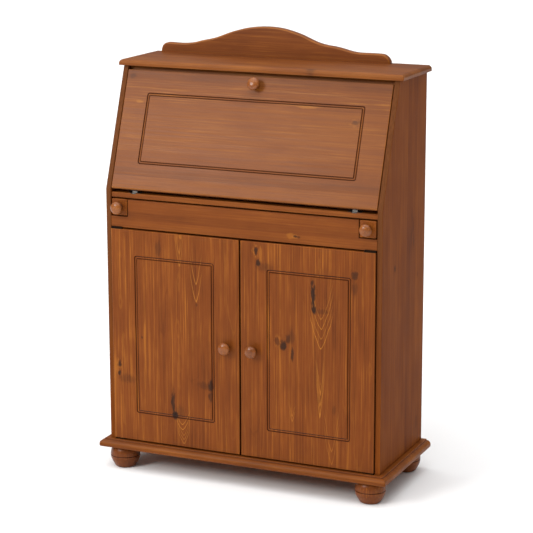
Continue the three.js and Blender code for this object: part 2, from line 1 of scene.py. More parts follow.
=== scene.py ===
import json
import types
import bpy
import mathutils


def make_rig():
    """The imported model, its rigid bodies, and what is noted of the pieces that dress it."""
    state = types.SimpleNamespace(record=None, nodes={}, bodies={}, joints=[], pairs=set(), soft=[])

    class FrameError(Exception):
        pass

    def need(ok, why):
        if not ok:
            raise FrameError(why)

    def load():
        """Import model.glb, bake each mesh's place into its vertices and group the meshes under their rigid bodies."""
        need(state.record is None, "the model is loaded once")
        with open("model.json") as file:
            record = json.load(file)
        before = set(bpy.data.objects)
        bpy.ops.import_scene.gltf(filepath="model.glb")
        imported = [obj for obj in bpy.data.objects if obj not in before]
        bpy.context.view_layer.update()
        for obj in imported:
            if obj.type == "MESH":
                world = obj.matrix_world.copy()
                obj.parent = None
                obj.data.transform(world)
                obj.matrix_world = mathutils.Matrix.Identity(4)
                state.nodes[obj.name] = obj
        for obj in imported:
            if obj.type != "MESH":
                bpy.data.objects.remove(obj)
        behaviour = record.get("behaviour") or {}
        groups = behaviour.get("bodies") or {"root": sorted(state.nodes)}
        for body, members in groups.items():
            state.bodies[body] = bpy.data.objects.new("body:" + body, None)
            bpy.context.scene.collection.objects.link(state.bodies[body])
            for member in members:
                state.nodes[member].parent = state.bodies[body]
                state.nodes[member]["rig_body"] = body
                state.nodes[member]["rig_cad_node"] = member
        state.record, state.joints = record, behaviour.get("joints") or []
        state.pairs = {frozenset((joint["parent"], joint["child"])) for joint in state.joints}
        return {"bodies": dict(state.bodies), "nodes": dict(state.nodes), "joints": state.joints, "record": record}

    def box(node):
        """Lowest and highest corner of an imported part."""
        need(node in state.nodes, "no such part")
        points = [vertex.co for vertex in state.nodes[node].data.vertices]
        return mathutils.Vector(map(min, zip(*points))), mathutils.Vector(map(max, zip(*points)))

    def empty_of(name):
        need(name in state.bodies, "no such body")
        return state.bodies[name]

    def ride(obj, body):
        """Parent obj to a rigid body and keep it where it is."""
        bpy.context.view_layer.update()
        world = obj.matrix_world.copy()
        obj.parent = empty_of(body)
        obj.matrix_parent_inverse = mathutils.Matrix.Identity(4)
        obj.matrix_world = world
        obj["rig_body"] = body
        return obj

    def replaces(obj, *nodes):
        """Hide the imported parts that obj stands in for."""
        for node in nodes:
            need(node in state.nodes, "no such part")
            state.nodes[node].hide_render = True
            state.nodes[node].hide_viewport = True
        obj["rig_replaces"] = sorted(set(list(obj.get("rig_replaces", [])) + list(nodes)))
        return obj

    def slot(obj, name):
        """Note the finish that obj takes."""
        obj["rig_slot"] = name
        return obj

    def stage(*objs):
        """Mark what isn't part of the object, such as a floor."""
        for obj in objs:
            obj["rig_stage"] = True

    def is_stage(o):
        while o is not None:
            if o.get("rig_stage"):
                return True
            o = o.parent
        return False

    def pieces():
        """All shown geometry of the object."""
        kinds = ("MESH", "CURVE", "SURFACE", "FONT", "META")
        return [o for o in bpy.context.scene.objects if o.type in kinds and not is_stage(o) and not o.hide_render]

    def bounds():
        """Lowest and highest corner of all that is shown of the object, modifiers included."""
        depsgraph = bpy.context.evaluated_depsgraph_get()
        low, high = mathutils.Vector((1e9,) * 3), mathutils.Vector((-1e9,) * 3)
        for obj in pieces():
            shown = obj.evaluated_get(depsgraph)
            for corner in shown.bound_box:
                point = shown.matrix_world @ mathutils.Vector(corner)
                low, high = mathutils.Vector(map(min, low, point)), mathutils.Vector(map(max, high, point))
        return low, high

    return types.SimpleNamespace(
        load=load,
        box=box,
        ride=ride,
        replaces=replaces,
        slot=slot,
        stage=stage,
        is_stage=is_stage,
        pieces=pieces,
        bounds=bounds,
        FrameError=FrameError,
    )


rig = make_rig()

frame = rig.load()

import json
import math

import bpy
import bmesh
from mathutils import Matrix, Vector

CAD_LO, CAD_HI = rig.bounds()
MM = 0.001
Y0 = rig.box("side_panel_left")[0].y          # plane of the side panels' upright front edges
SLOPE = math.radians(19.8)
KNEE_Z = 778.2
BODY_OF = {n: b for b, ns in frame["record"]["behaviour"]["bodies"].items() for n in ns}


# =====================================================================================
# measures: helpers work in millimetres, X from the middle, Y from the panels' front
# edges, Z from the floor, and put() turns that into the row frame in metres
# =====================================================================================
def row(p):
    return Vector((p[0] * MM, p[1] * MM + Y0, p[2] * MM))


def lean(p):
    """drop-front coordinates (x, out of the slope, up the slope) to case coordinates"""
    c, s = math.cos(SLOPE), math.sin(SLOPE)
    return (p[0], p[1] * c + p[2] * s, KNEE_Z - p[1] * s + p[2] * c)


def node_mm(node):
    """a CAD node's box in case millimetres"""
    lo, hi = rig.box(node)
    return ((lo.x / MM, (lo.y - Y0) / MM, lo.z / MM), (hi.x / MM, (hi.y - Y0) / MM, hi.z / MM))


def inside(o):
    """the same mesh, its vertices clamped into the whole CAD model's bounds in case of rounding"""
    for v in o.data.vertices:
        v.co.x = min(max(v.co.x, CAD_LO.x), CAD_HI.x)
        v.co.y = min(max(v.co.y, CAD_LO.y), CAD_HI.y)
        v.co.z = min(max(v.co.z, CAD_LO.z), CAD_HI.z)


# =====================================================================================
# meshes
# =====================================================================================
class Shape:
    """vertices, faces and one value of painted light for each vertex: above 0 lighter (painted highlight, partly wear),
    below 0 darker (painted shade, partly stain in hollows)
    """

    def __init__(self):
        self.v, self.f, self.t = [], [], []

    def add(self, other):
        n = len(self.v)
        self.v += other.v
        self.t += other.t
        self.f += [tuple(i + n for i in f) for f in other.f]
        return self

    def move(self, fn):
        self.v = [tuple(fn(p)) for p in self.v]
        return self


def loft(loops, tones=None, cap_a=True, cap_b=True):
    s, n = Shape(), len(loops[0])
    tones = tones or [0.0] * len(loops)
    for loop, t in zip(loops, tones):
        s.v += [tuple(p) for p in loop]
        s.t += [t] * n
    for k in range(len(loops) - 1):
        a, b = k * n, (k + 1) * n
        for i in range(n):
            j = (i + 1) % n
            s.f.append((a + i, a + j, b + j, b + i))
    if cap_a:
        s.f.append(tuple(reversed(range(n))))
    if cap_b:
        s.f.append(tuple(range((len(loops) - 1) * n, len(loops) * n)))
    return s


def catmull(pts, steps=4):
    """a smooth open curve through the points"""
    out, n = [], len(pts)
    for i in range(n - 1):
        p0, p1, p2, p3 = pts[max(i - 1, 0)], pts[i], pts[i + 1], pts[min(i + 2, n - 1)]
        for k in range(steps):
            t = k / steps
            out.append(tuple(
                0.5 * (2 * b + (c - a) * t + (2 * a - 5 * b + 4 * c - d) * t * t + (3 * b - a - 3 * c + d) * t ** 3)
                for a, b, c, d in zip(p0, p1, p2, p3)))
    out.append(tuple(pts[-1]))
    return out


def rrect(x0, x1, z0, z1, r, seg=5):
    pts = []
    for cx, cz, a0 in ((x1 - r, z1 - r, 0), (x0 + r, z1 - r, 90), (x0 + r, z0 + r, 180), (x1 - r, z0 + r, 270)):
        for i in range(seg + 1):
            a = math.radians(a0 + 90 * i / seg)
            pts.append((cx + r * math.cos(a), cz + r * math.sin(a)))
    return pts


# routed moulding, seen in section: (share of the width inwards, depth in mm, shading: painted shade in the channels,
# partly stain)
ROUTED = [(0.0, 0.0, 0.0), (0.03, 0.25, -0.4), (0.07, 1.1, -0.9), (0.12, 1.9, -1.0), (0.18, 2.2, -1.0), (0.25, 2.0, -0.95), (0.31, 1.3, -0.5),
          (0.40, 0.8, 0.0), (0.5, 0.65, 0.08), (0.60, 0.75, 0.0), (0.68, 1.2, -0.4), (0.76, 1.95, -0.85), (0.83, 2.15, -0.95), (0.90, 1.8, -0.85),
          (0.95, 0.8, -0.55), (0.985, 0.12, -0.2), (1.0, 0.0, 0.0)]


def slab(x0, x1, y_front, y_back, z0, z1, edge=(2.2, 2.2, 2.2, 2.2), depth=2.2, back_edge=0.9, ring=None, ring_w=9.2, ring_r=6.5, corner=1.0):
    """a board seen from -Y with its front edges rounded by (left, right, low, high) and a routed ring on the front"""
    L, R, B, T = edge
    loops, tones = [], []

    def at(aL, aR, aB, aT, y, t, r=corner):
        loops.append([(x, y, z) for x, z in rrect(x0 + aL, x1 - aR, z0 + aB, z1 - aT, r)])
        tones.append(t)
    at(back_edge, back_edge, back_edge, back_edge, y_back, 0.0)
    # edge tones: the side faces and the start of the front rounding are darker as painted shade for the gaps; the rest
    # of the rounding and the back rounding are lighter as a painted highlight, partly wear
    gap = -0.85
    for k in (1, 2, 3):
        a = math.radians(90 * k / 3)
        q = back_edge * (1 - math.sin(a))
        at(q, q, q, q, y_back - back_edge * (1 - math.cos(a)), 0.4 if k < 3 else gap)
    n = 6
    for k in range(n + 1):
        a = math.radians(90 * k / n)
        q = 1 - math.cos(a)
        at(L * q, R * q, B * q, T * q, y_front + depth * (1 - math.sin(a)), (gap, -0.7, -0.25, 0.35, 0.7, 0.45, 0.0)[k])
    if ring:
        ra, rb, rc, rd = ring
        g = 1.2
        loops.append([(x, y_front, z) for x, z in rrect(ra - g, rb + g, rc - g, rd + g, ring_r + g)])
        tones.append(0.0)
        for s_, d_, t_ in ROUTED:
            w = s_ * ring_w
            loops.append([(x, y_front + d_, z) for x, z in rrect(ra + w, rb - w, rc + w, rd - w, max(ring_r - w * 0.72, 0.5))])
            tones.append(t_)
        w = ring_w + 1.2
        loops.append([(x, y_front, z) for x, z in rrect(ra + w, rb - w, rc + w, rd - w, 0.5)])
        tones.append(0.0)
    return loft(loops, tones)


def bar(x0, x1, y0, y1, z0, z1, r=1.2, seg=3, tone=0.8):
    """a planed piece with every edge eased by r"""
    bm = bmesh.new()
    bmesh.ops.create_cube(bm, size=1.0)
    for v in bm.verts:
        v.co = Vector((x0 + (v.co.x + 0.5) * (x1 - x0), y0 + (v.co.y + 0.5) * (y1 - y0), z0 + (v.co.z + 0.5) * (z1 - z0)))
    bmesh.ops.bevel(bm, geom=list(bm.edges), offset=r, segments=seg, profile=0.5, affect="EDGES", clamp_overlap=True)
    s = Shape()
    bm.verts.index_update()
    lim = ((x0, x1), (y0, y1), (z0, z1))
    for v in bm.verts:
        s.v.append(tuple(v.co))
        # vertices on the eased edges take tone: above 0 a painted highlight, partly wear; below 0 painted shade
        touching = sum(1 for k in range(3) if min(abs(v.co[k] - lim[k][0]), abs(v.co[k] - lim[k][1])) < 1e-3)
        s.t.append(0.0 if touching else tone)
    s.f = [tuple(v.index for v in f.verts) for f in bm.faces]
    bm.free()
    return s


def prism(outline, a, b, axis="y", r=1.0, seg=3, tone=0.7):
    """an outline in the plane across the axis, run from a to b, its long and end edges eased by r"""
    put3 = {"y": lambda p, q: (p[0], q, p[1]), "x": lambda p, q: (q, p[0], p[1]), "z": lambda p, q: (p[0], p[1], q)}[axis]
    bm = bmesh.new()
    va = [bm.verts.new(put3(p, a)) for p in outline]
    vb = [bm.verts.new(put3(p, b)) for p in outline]
    n = len(outline)
    bm.faces.new(va)
    bm.faces.new(list(reversed(vb)))
    for i in range(n):
        j = (i + 1) % n
        bm.faces.new((va[j], va[i], vb[i], vb[j]))
    bmesh.ops.recalc_face_normals(bm, faces=list(bm.faces))
    flat = [Vector(v.co) for v in bm.verts]
    planes = [(f.normal.copy(), f.normal.dot(f.verts[0].co)) for f in bm.faces]
    bmesh.ops.bevel(bm, geom=list(bm.edges), offset=r, segments=seg, profile=0.5, affect="EDGES", clamp_overlap=True)
    s = Shape()
    bm.verts.index_update()
    for v in bm.verts:
        s.v.append(tuple(v.co))
        # vertices on the eased edges take tone: above 0 a painted highlight, partly wear; below 0 painted shade
        on = any(abs(nrm.dot(v.co) - d) < 1e-3 for nrm, d in planes)
        s.t.append(0.0 if on else tone)
    s.f = [tuple(v.index for v in f.verts) for f in bm.faces]
    bm.free()
    return s


def lathe(profile, centre, axis, seg=48, tones=None):
    """profile of (radius, height) turned about an axis ('x', '-y', 'z' ...) through centre; ends on the axis are closed"""
    sign = -1.0 if axis.startswith("-") else 1.0
    k = axis[-1]
    d = Vector((k == "x", k == "y", k == "z")) * sign
    u = Vector((0, 0, 1)) if k != "z" else Vector((1, 0, 0))
    w = d.cross(u)
    c = Vector(centre)
    s, rings = Shape(), []
    for i, (r, h) in enumerate(profile):
        t = tones[i] if tones else 0.0
        if r < 1e-6:
            s.v.append(tuple(c + d * h)); s.t.append(t)
            rings.append([len(s.v) - 1])
        else:
            ring = []
            for j in range(seg):
                a = 2 * math.pi * j / seg
                s.v.append(tuple(c + d * h + (u * math.cos(a) + w * math.sin(a)) * r)); s.t.append(t)
                ring.append(len(s.v) - 1)
            rings.append(ring)
    for a, b in zip(rings, rings[1:]):
        if len(a) == 1 and len(b) == 1:
            continue
        for j in range(seg):
            m = (j + 1) % seg
            if len(a) == 1:
                s.f.append((a[0], b[m], b[j]))
            elif len(b) == 1:
                s.f.append((a[j], a[m], b[0]))
            else:
                s.f.append((a[j], a[m], b[m], b[j]))
    return s


def put(name, shape, material, body, slot, replaces=(), smooth=35, weighted=True):
    """the shape as an object in the row frame, riding on its body"""
    me = bpy.data.meshes.new(name)
    me.from_pydata([tuple(row(p)) for p in shape.v], [], shape.f)
    me.update()
    bm = bmesh.new()
    bm.from_mesh(me)
    bmesh.ops.recalc_face_normals(bm, faces=list(bm.faces))
    bm.to_mesh(me)
    bm.free()
    # per-vertex painted highlight and shade, read by the materials
    at = me.attributes.new("rub", "FLOAT", "POINT")
    at.data.foreach_set("value", [float(t) for t in shape.t])
    o = bpy.data.objects.new(name, me)
    bpy.context.scene.collection.objects.link(o)
    me.materials.append(material)
    inside(o)
    for p in me.polygons:
        p.use_smooth = True
    me.set_sharp_from_angle(angle=math.radians(smooth))
    if weighted:
        m = o.modifiers.new("even_normals", "WEIGHTED_NORMAL")
        m.mode = "FACE_AREA"
        m.keep_sharp = True
        m.weight = 50
    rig.ride(o, body)
    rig.slot(o, slot)
    if replaces:
        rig.replaces(o, *replaces)
    return o


def carve(o, boxes, names=("seat",)):
    """cuts plain boxes (case mm: x0, x1, y0, y1, z0, z1) out of the piece, for hinge seats and notches"""
    cutters = []
    for i, b in enumerate(boxes):
        fn = b[6] if len(b) > 6 else None
        me = bpy.data.meshes.new(f"cutter_{i}")
        x0, x1, y0, y1, z0, z1 = b[:6]
        pts = [(x, y, z) for z in (z0, z1) for y in (y0, y1) for x in (x0, x1)]
        if fn:
            pts = [fn(p) for p in pts]
        me.from_pydata([tuple(row(p)) for p in pts], [], [(0, 2, 3, 1), (4, 5, 7, 6), (0, 1, 5, 4), (2, 6, 7, 3), (0, 4, 6, 2), (1, 3, 7, 5)])
        me.update()
        c = bpy.data.objects.new(f"cutter_{o.name}_{i}", me)
        bpy.context.scene.collection.objects.link(c)
        cutters.append(c)
    kept = [(m.name, m.type) for m in o.modifiers]
    for m in list(o.modifiers):
        o.modifiers.remove(m)
    for c in cutters:
        m = o.modifiers.new("cut", "BOOLEAN")
        m.operation, m.solver, m.object = "DIFFERENCE", "EXACT", c
    bpy.context.view_layer.update()
    dg = bpy.context.evaluated_depsgraph_get()
    made = bpy.data.meshes.new_from_object(o.evaluated_get(dg))
    for m in list(o.modifiers):
        o.modifiers.remove(m)
    old = o.data
    made.name = old.name
    o.data = made
    bpy.data.meshes.remove(old)
    for c in cutters:
        me = c.data
        bpy.data.objects.remove(c)
        bpy.data.meshes.remove(me)
    for p in made.polygons:
        p.use_smooth = True
    made.set_sharp_from_angle(angle=math.radians(35))
    m = o.modifiers.new("even_normals", "WEIGHTED_NORMAL")
    m.mode, m.keep_sharp, m.weight = "FACE_AREA", True, 50
    return o


# =====================================================================================
# materials
# =====================================================================================
def lin(r, g, b):
    """sRGB 0-255 to linear"""
    out = []
    for c in (r, g, b):
        c /= 255
        out.append(c / 12.92 if c <= 0.04045 else ((c + 0.055) / 1.055) ** 2.4)
    return out


class Nodes:
    def __init__(self, name):
        self.mat = bpy.data.materials.new(name)
        self.mat.use_nodes = True
        self.nt = self.mat.node_tree
        self.nt.nodes.clear()

    def new(self, kind, **props):
        n = self.nt.nodes.new(kind)
        for k, v in props.items():
            setattr(n, k, v)
        return n

    def feed(self, socket, value):
        if isinstance(value, bpy.types.NodeSocket):
            self.nt.links.new(value, socket)
        elif isinstance(value, (tuple, list)) and len(value) == 3 and socket.type == "RGBA":
            socket.default_value = (*value, 1.0)
        else:
            socket.default_value = value

    def math(self, op, a, b=0.0, c=0.0, clamp=False):
        n = self.new("ShaderNodeMath", operation=op, use_clamp=clamp)
        self.feed(n.inputs[0], a)
        self.feed(n.inputs[1], b)
        if len(n.inputs) > 2:
            self.feed(n.inputs[2], c)
        return n.outputs[0]

    def add(self, a, b): return self.math("ADD", a, b)
    def sub(self, a, b): return self.math("SUBTRACT", a, b)
    def mul(self, a, b): return self.math("MULTIPLY", a, b)
    def mad(self, a, b, c): return self.math("MULTIPLY_ADD", a, b, c)

    def xyz(self, x, y, z):
        n = self.new("ShaderNodeCombineXYZ")
        for i, v in enumerate((x, y, z)):
            self.feed(n.inputs[i], v)
        return n.outputs[0]

    def noise(self, vec, scale=1.0, detail=2.0, rough=0.5, distortion=0.0):
        n = self.new("ShaderNodeTexNoise", noise_dimensions="3D")
        self.feed(n.inputs["Vector"], vec)
        n.inputs["Scale"].default_value = scale
        n.inputs["Detail"].default_value = detail
        n.inputs["Roughness"].default_value = rough
        n.inputs["Distortion"].default_value = distortion
        return n.outputs["Fac"]

    def white(self, w):
        n = self.new("ShaderNodeTexWhiteNoise", noise_dimensions="1D")
        self.feed(n.inputs["W"], w)
        return n.outputs["Value"]

    def step(self, v, a, b, lo=0.0, hi=1.0):
        n = self.new("ShaderNodeMapRange", interpolation_type="SMOOTHSTEP", clamp=True)
        self.feed(n.inputs["Value"], v)
        n.inputs["From Min"].default_value = a
        n.inputs["From Max"].default_value = b
        n.inputs["To Min"].default_value = lo
        n.inputs["To Max"].default_value = hi
        return n.outputs["Result"]

    def mix(self, fac, a, b, blend="MIX"):
        n = self.new("ShaderNodeMix", data_type="RGBA", blend_type=blend, clamp_factor=True)
        self.feed(n.inputs[0], fac)
        self.feed(n.inputs[6], a)
        self.feed(n.inputs[7], b)
        return n.outputs[2]

    def ramp(self, fac, stops, mode="LINEAR"):
        n = self.new("ShaderNodeValToRGB")
        cr = n.color_ramp
        cr.interpolation = mode
        while len(cr.elements) > 1:
            cr.elements.remove(cr.elements[-1])
        cr.elements[0].position = stops[0][0]
        cr.elements[0].color = (*stops[0][1], 1)
        for p, c in stops[1:]:
            e = cr.elements.new(p)
            e.color = (*c, 1)
        self.feed(n.inputs[0], fac)
        return n.outputs["Color"]

    def split(self, colour):
        n = self.new("ShaderNodeSeparateColor")
        self.feed(n.inputs[0], colour)
        return n.outputs[0], n.outputs[1], n.outputs[2]

    def attribute(self, name):
        n = self.new("ShaderNodeAttribute", attribute_name=name, attribute_type="GEOMETRY")
        return n.outputs["Fac"]

    def position(self):
        """object coordinates in millimetres: they stay with the piece when it moves"""
        tc = self.new("ShaderNodeTexCoord")
        sc = self.new("ShaderNodeVectorMath", operation="SCALE")
        self.nt.links.new(tc.outputs["Object"], sc.inputs[0])
        sc.inputs["Scale"].default_value = 1000.0
        sp = self.new("ShaderNodeSeparateXYZ")
        self.nt.links.new(sc.outputs[0], sp.inputs[0])
        return {"v": sc.outputs[0], "x": sp.outputs[0], "y": sp.outputs[1], "z": sp.outputs[2]}


PAL = {
    "deep": lin(88, 41, 14),
    "body": lin(121, 62, 21),
    "warm": lin(136, 74, 26),
    "gold": lin(168, 102, 34),
    "knot": lin(38, 26, 19),
    "amber": lin(170, 103, 36),
}


def shade(colour, k):
    return [min(1.0, c * m) for c, m in zip(colour, k if isinstance(k, (list, tuple)) else (k, k, k))]


def pine(name, grain, across, depth, seed=1.0, staves=None, span=(-400.0, 400.0), stave_w=78.0, knots=(), tint=1.0, ring=6.0,
         tilt=0.06, gspan=(0.0, 1200.0), contrast=1.0, gold=1.0, fibre=1.0, rough=0.42, coat=0.03, coat_rough=0.3, bump=1.0, pal=None, d0=4.0, meander=12.0, stripes=0.0, arches=False, line_mm=0.9, spec=0.085, vees=(), gfine=0.75, edge_tone=None):
    """stained knotty pine: glued staves, rings that open into cathedral arches, latewood lines that stay
    golden, fibre streaks, blotchy stain, knots that turn the grain, lighter edges (painted highlight, partly wear) and
    painted shade in gaps and hollows (partly stain)"""
    N = Nodes(name)
    C = dict(PAL)
    C.update(pal or {})
    C = {k: shade(v, tint) for k, v in C.items()}
    P = N.position()
    g, w, d = P[grain], P[across], P[depth]
    sv = (seed * 37.3 % 91.0, seed * 17.9 % 71.0, seed * 53.1 % 83.0)

    def field(kg, kw, detail, rough_=0.5, shift=0.0, kd=None):
        kd = kw if kd is None else kd
        return N.noise(N.xyz(N.mad(g, kg, sv[0] + shift), N.mad(w, kw, sv[1] + shift), N.mad(d, kd, sv[2])), 1.0, detail, rough_)

    n1 = field(0.0034, 0.010, 2.0)
    n2 = field(0.013, 0.045, 2.0, shift=7.0)
    ww = N.mad(N.sub(n1, 0.5), meander, w)
    ww = N.mad(N.sub(n2, 0.5), 3.2, ww)

    if staves:
        lo, hi = span
        rows_a, rows_b = [], []
        for start, tone, w0, g0, tl, gd in staves:
            pos = min(max((start - lo) / (hi - lo), 0.0), 1.0)
            rows_a.append((pos, (tone, (w0 - lo + 200) / (hi - lo + 400), gd)))
            rows_b.append((pos, ((g0 + 1200) / 3600, tl / 0.5, (w0 * 0.137 + seed) % 1.0)))
        f = N.mad(w, 1.0 / (hi - lo), -lo / (hi - lo))
        tone, w0n, gd = N.split(N.ramp(f, rows_a, "CONSTANT"))
        g0n, tln, rnd = N.split(N.ramp(f, rows_b, "CONSTANT"))
        w0 = N.mad(w0n, hi - lo + 400, lo - 200)
        g0 = N.mad(g0n, 3600.0, -1200.0)
        tl = N.mul(tln, 0.5)
    else:
        vo = N.new("ShaderNodeTexVoronoi", voronoi_dimensions="1D", feature="F1")
        N.feed(vo.inputs["W"], N.mad(w, 1.0 / stave_w, seed * 3.17))
        vo.inputs["Scale"].default_value = 1.0
        vo.inputs["Randomness"].default_value = 0.6
        c1, c2, c3 = N.split(vo.outputs["Color"])
        cell = N.mul(N.sub(vo.outputs["W"], seed * 3.17), stave_w)
        w0 = N.mad(N.sub(c1, 0.5), stave_w * 0.9, cell)
        g0 = N.mad(c2, (gspan[1] - gspan[0]) * 1.5, gspan[0] - (gspan[1] - gspan[0]) * 0.25)
        tl = N.mad(c3, tilt, tilt * 0.45)
        tone = N.white(N.mad(vo.outputs["W"], 7.31, 0.37))
        tone = N.mad(N.sub(tone, 0.5), 0.42, 0.5)
        gd = N.white(N.mad(vo.outputs["W"], 3.77, 5.1))
        rnd = N.white(N.mad(vo.outputs["W"], 5.93, 2.3))

    # rings: distance from the stave's own heart line
    a = N.sub(ww, w0)
    along = N.sub(g, g0)
    if arches:      # arches that all point down the board, as in one tapering log
        b = N.mad(N.math("MAXIMUM", N.mul(along, -1.0), 0.0), tl, N.mul(N.math("MAXIMUM", along, 0.0), 0.015))
    else:
        b = N.mul(along, tl)
    c = N.add(d, d0 + abs(sv[2]) * 0.02)
    aa, bb = N.mul(a, a), N.mul(b, b)
    dist = N.math("SQRT", N.add(N.add(aa, bb), N.mul(c, N.mul(c, 0.25))))
    slope = N.math("DIVIDE", N.math("SQRT", N.add(aa, N.mul(bb, N.mul(tl, tl)))), N.math("MAXIMUM", dist, 0.5))

    dark_sum, amber_sum, gold_sum, halo_sum = None, None, None, None
    f3k = field(0.03, 0.28, 3.0, 0.6, shift=71.0) if knots else None
    warp = field(0.055, 0.10, 2.0, 0.55, shift=87.0) if knots else None
    for kg, kw, ra, rb, kind, power in knots:
        dg = N.mad(N.sub(n2, 0.5), 0.9, N.mul(N.sub(g, kg), 1.0 / ra))
        dw = N.mad(N.sub(n1, 0.5), 0.5, N.mul(N.sub(w, kw), 1.0 / rb))
        dw = N.mad(N.sub(warp, 0.5), 1.9 if kind in ("dark", "amber") else 1.1, dw)
        dg = N.mad(N.sub(f3k, 0.5), 1.0, dg)
        q2 = N.add(N.mul(dg, dg), N.mul(dw, dw))
        swell = N.math("EXPONENT", N.mul(q2, -0.42))
        dist = N.mad(swell, rb * {"gold": 0.7, "soft": 0.25, "dark": 1.1, "amber": 1.5}[kind], dist)
        ragged = N.mad(N.sub(f3k, 0.5), 1.5, q2)
        core = N.step(ragged, 1.7 if kind == "soft" else 1.35, 0.0 if kind == "soft" else 0.25, 0.0, power)
        q = N.math("SQRT", q2)
        band = N.mul(N.sub(q, 1.2), 2.4)
        rim = N.mul(N.math("EXPONENT", N.mul(N.mul(band, band), -1.0)), power)
        halo = N.mul(N.math("EXPONENT", N.mul(q2, -0.3)), power)
        if kind == "gold":
            gold_sum = core if gold_sum is None else N.math("MAXIMUM", gold_sum, core)
        else:
            k = {"dark": 1.0, "amber": 0.85, "soft": 0.42}[kind]
            core = N.mul(core, k)
            dark_sum = core if dark_sum is None else N.math("MAXIMUM", dark_sum, core)
            if kind == "amber":
                rim = N.mul(rim, N.step(field(0.09, 0.16, 2.0, 0.6, shift=61.0), 0.42, 0.6))
                amber_sum = rim if amber_sum is None else N.math("MAXIMUM", amber_sum, rim)
            halo = N.mul(halo, 0.42 if kind != "soft" else 0.3)
            halo_sum = halo if halo_sum is None else N.math("MAXIMUM", halo_sum, halo)

    phase = N.mad(N.sub(n2, 0.5), 0.5, N.mul(dist, 1.0 / ring))
    idx = N.math("FLOOR", phase)
    saw = N.math("FRACT", phase)
    r1 = N.white(N.add(N.mad(idx, 1.731, seed * 11.3), N.mul(rnd, 57.0)))
    r2 = N.white(N.add(N.mad(idx, 2.113, seed * 5.7), N.mul(rnd, 31.0)))
    # a latewood line keeps its width in millimetres where the ring runs out flat in an arch
    half = N.math("MINIMUM", N.math("MAXIMUM", N.mul(slope, line_mm / ring), 0.035), 0.42)
    off = N.math("ABSOLUTE", N.sub(saw, 0.5))
    line_g = N.step(N.math("DIVIDE", off, half), 1.25, 0.35)
    line_g = N.mul(line_g, N.mul(r1, r1))
    off = N.math("ABSOLUTE", N.sub(N.math("FRACT", N.add(saw, 0.62)), 0.5))
    line_d = N.step(N.math("DIVIDE", off, half), 1.3, 0.3)
    line_d = N.mul(line_d, r2)

    f1 = field(0.0036, 0.20, 3.0, 0.6, shift=3.0)
    f3 = field(0.0048, 0.34, 2.0, 0.5, shift=41.0)
    f2 = field(0.016, 0.85, 3.0, 0.6, shift=11.0)
    blotch = field(0.0075, 0.022, 3.0, 0.55, shift=19.0)
    fleck = field(0.05, 1.9, 2.0, 0.6, shift=23.0)

    # base tone of the stained wood, 0 deep to 1 warm
    t = N.mad(N.sub(tone, 0.5), 0.95, 0.49)
    t = N.mad(N.sub(blotch, 0.5), 0.95 * contrast, t)
    t = N.mad(N.sub(f1, 0.5), 1.15 * fibre * contrast, t)
    t = N.mad(N.sub(f2, 0.5), 0.75 * fibre * contrast, t)
    if stripes:
        s1 = N.noise(N.xyz(N.mad(g, 0.0012, sv[0]), N.mad(w, 0.075, sv[1] + 31.0), 0.0), 1.0, 3.0, 0.6)
        t = N.mad(N.sub(s1, 0.5), 1.6 * stripes, t)
    colour = N.ramp(t, [(0.0, C["deep"]), (0.33, shade(C["body"], 0.86)), (0.56, C["body"]), (0.86, C["warm"]), (1.0, shade(C["warm"], 1.12))])
    golden = N.mul(N.mul(line_g, N.mad(gd, 0.75, 0.12)), 0.7 * gold)
    fine = N.mul(N.step(f3, 0.55, 0.68), N.step(blotch, 0.36, 0.6, 0.25, 1.0))
    golden = N.math("MAXIMUM", golden, N.mul(fine, N.mad(gd, gfine, 0.12 * gfine)))
    if vees:
        vee = None
        for tip, w_, c_, gap, count, half_w, power in vees:
            dv = N.mad(N.sub(n2, 0.5), 7.0, N.sub(w, w_))
            rise = N.mul(N.sub(N.math("SQRT", N.add(N.mul(dv, dv), 3.0)), 1.7), 17.0 * c_)
            up = N.mad(N.sub(n1, 0.5), 26.0, N.sub(N.sub(g, tip), N.mad(N.mul(dv, dv), 0.42 * c_, rise)))
            v = N.mul(up, 1.0 / gap)
            thick = N.mul(N.math("SQRT", N.mad(N.mul(dv, dv), 0.7 * c_ * c_, 1.0 + 200.0 * c_ * c_)), 0.95 / gap)
            near = N.math("ABSOLUTE", N.sub(N.math("FRACT", N.add(v, 0.5)), 0.5))
            ln = N.step(N.math("DIVIDE", near, thick), 1.35, 0.5)
            ln = N.mul(ln, N.step(v, -0.45, -0.35))
            ln = N.mul(ln, N.step(v, count + 0.1, count - 0.5))
            ln = N.mul(ln, N.step(N.math("ABSOLUTE", dv), half_w * 1.15, half_w * 0.7))
            each = N.white(N.add(N.math("FLOOR", N.add(v, 0.5)), tip * 0.37))
            ln = N.mul(ln, N.mad(each, 0.5, 0.62))
            ln = N.mul(ln, N.mul(N.step(fleck, 0.3, 0.55, 0.45, 1.0), power))
            vee = ln if vee is None else N.math("MAXIMUM", vee, ln)
    colour = N.mix(golden, colour, C["gold"])
    if vees:
        colour = N.mix(vee, colour, shade(C["gold"], (1.12, 1.22, 1.35)))
    colour = N.mix(N.mul(line_d, 0.34 * contrast), colour, shade(C["deep"], 0.95))
    colour = N.mix(N.mul(N.step(f3, 0.46, 0.34), 0.34 * contrast), colour, shade(C["deep"], 0.92))
    if halo_sum is not None:
        colour = N.mix(N.mul(halo_sum, 0.62), colour, shade(C["deep"], 0.95))
    if amber_sum is not None:
        colour = N.mix(N.mul(amber_sum, N.step(n2, 0.36, 0.62, 0.25, 1.0)), colour, C["amber"])
    if gold_sum is not None:
        colour = N.mix(N.mul(gold_sum, 0.85), colour, C["gold"])
    if dark_sum is not None:
        colour = N.mix(N.mul(dark_sum, N.step(n2, 0.22, 0.5, 0.55, 1.0)), colour, C["knot"])

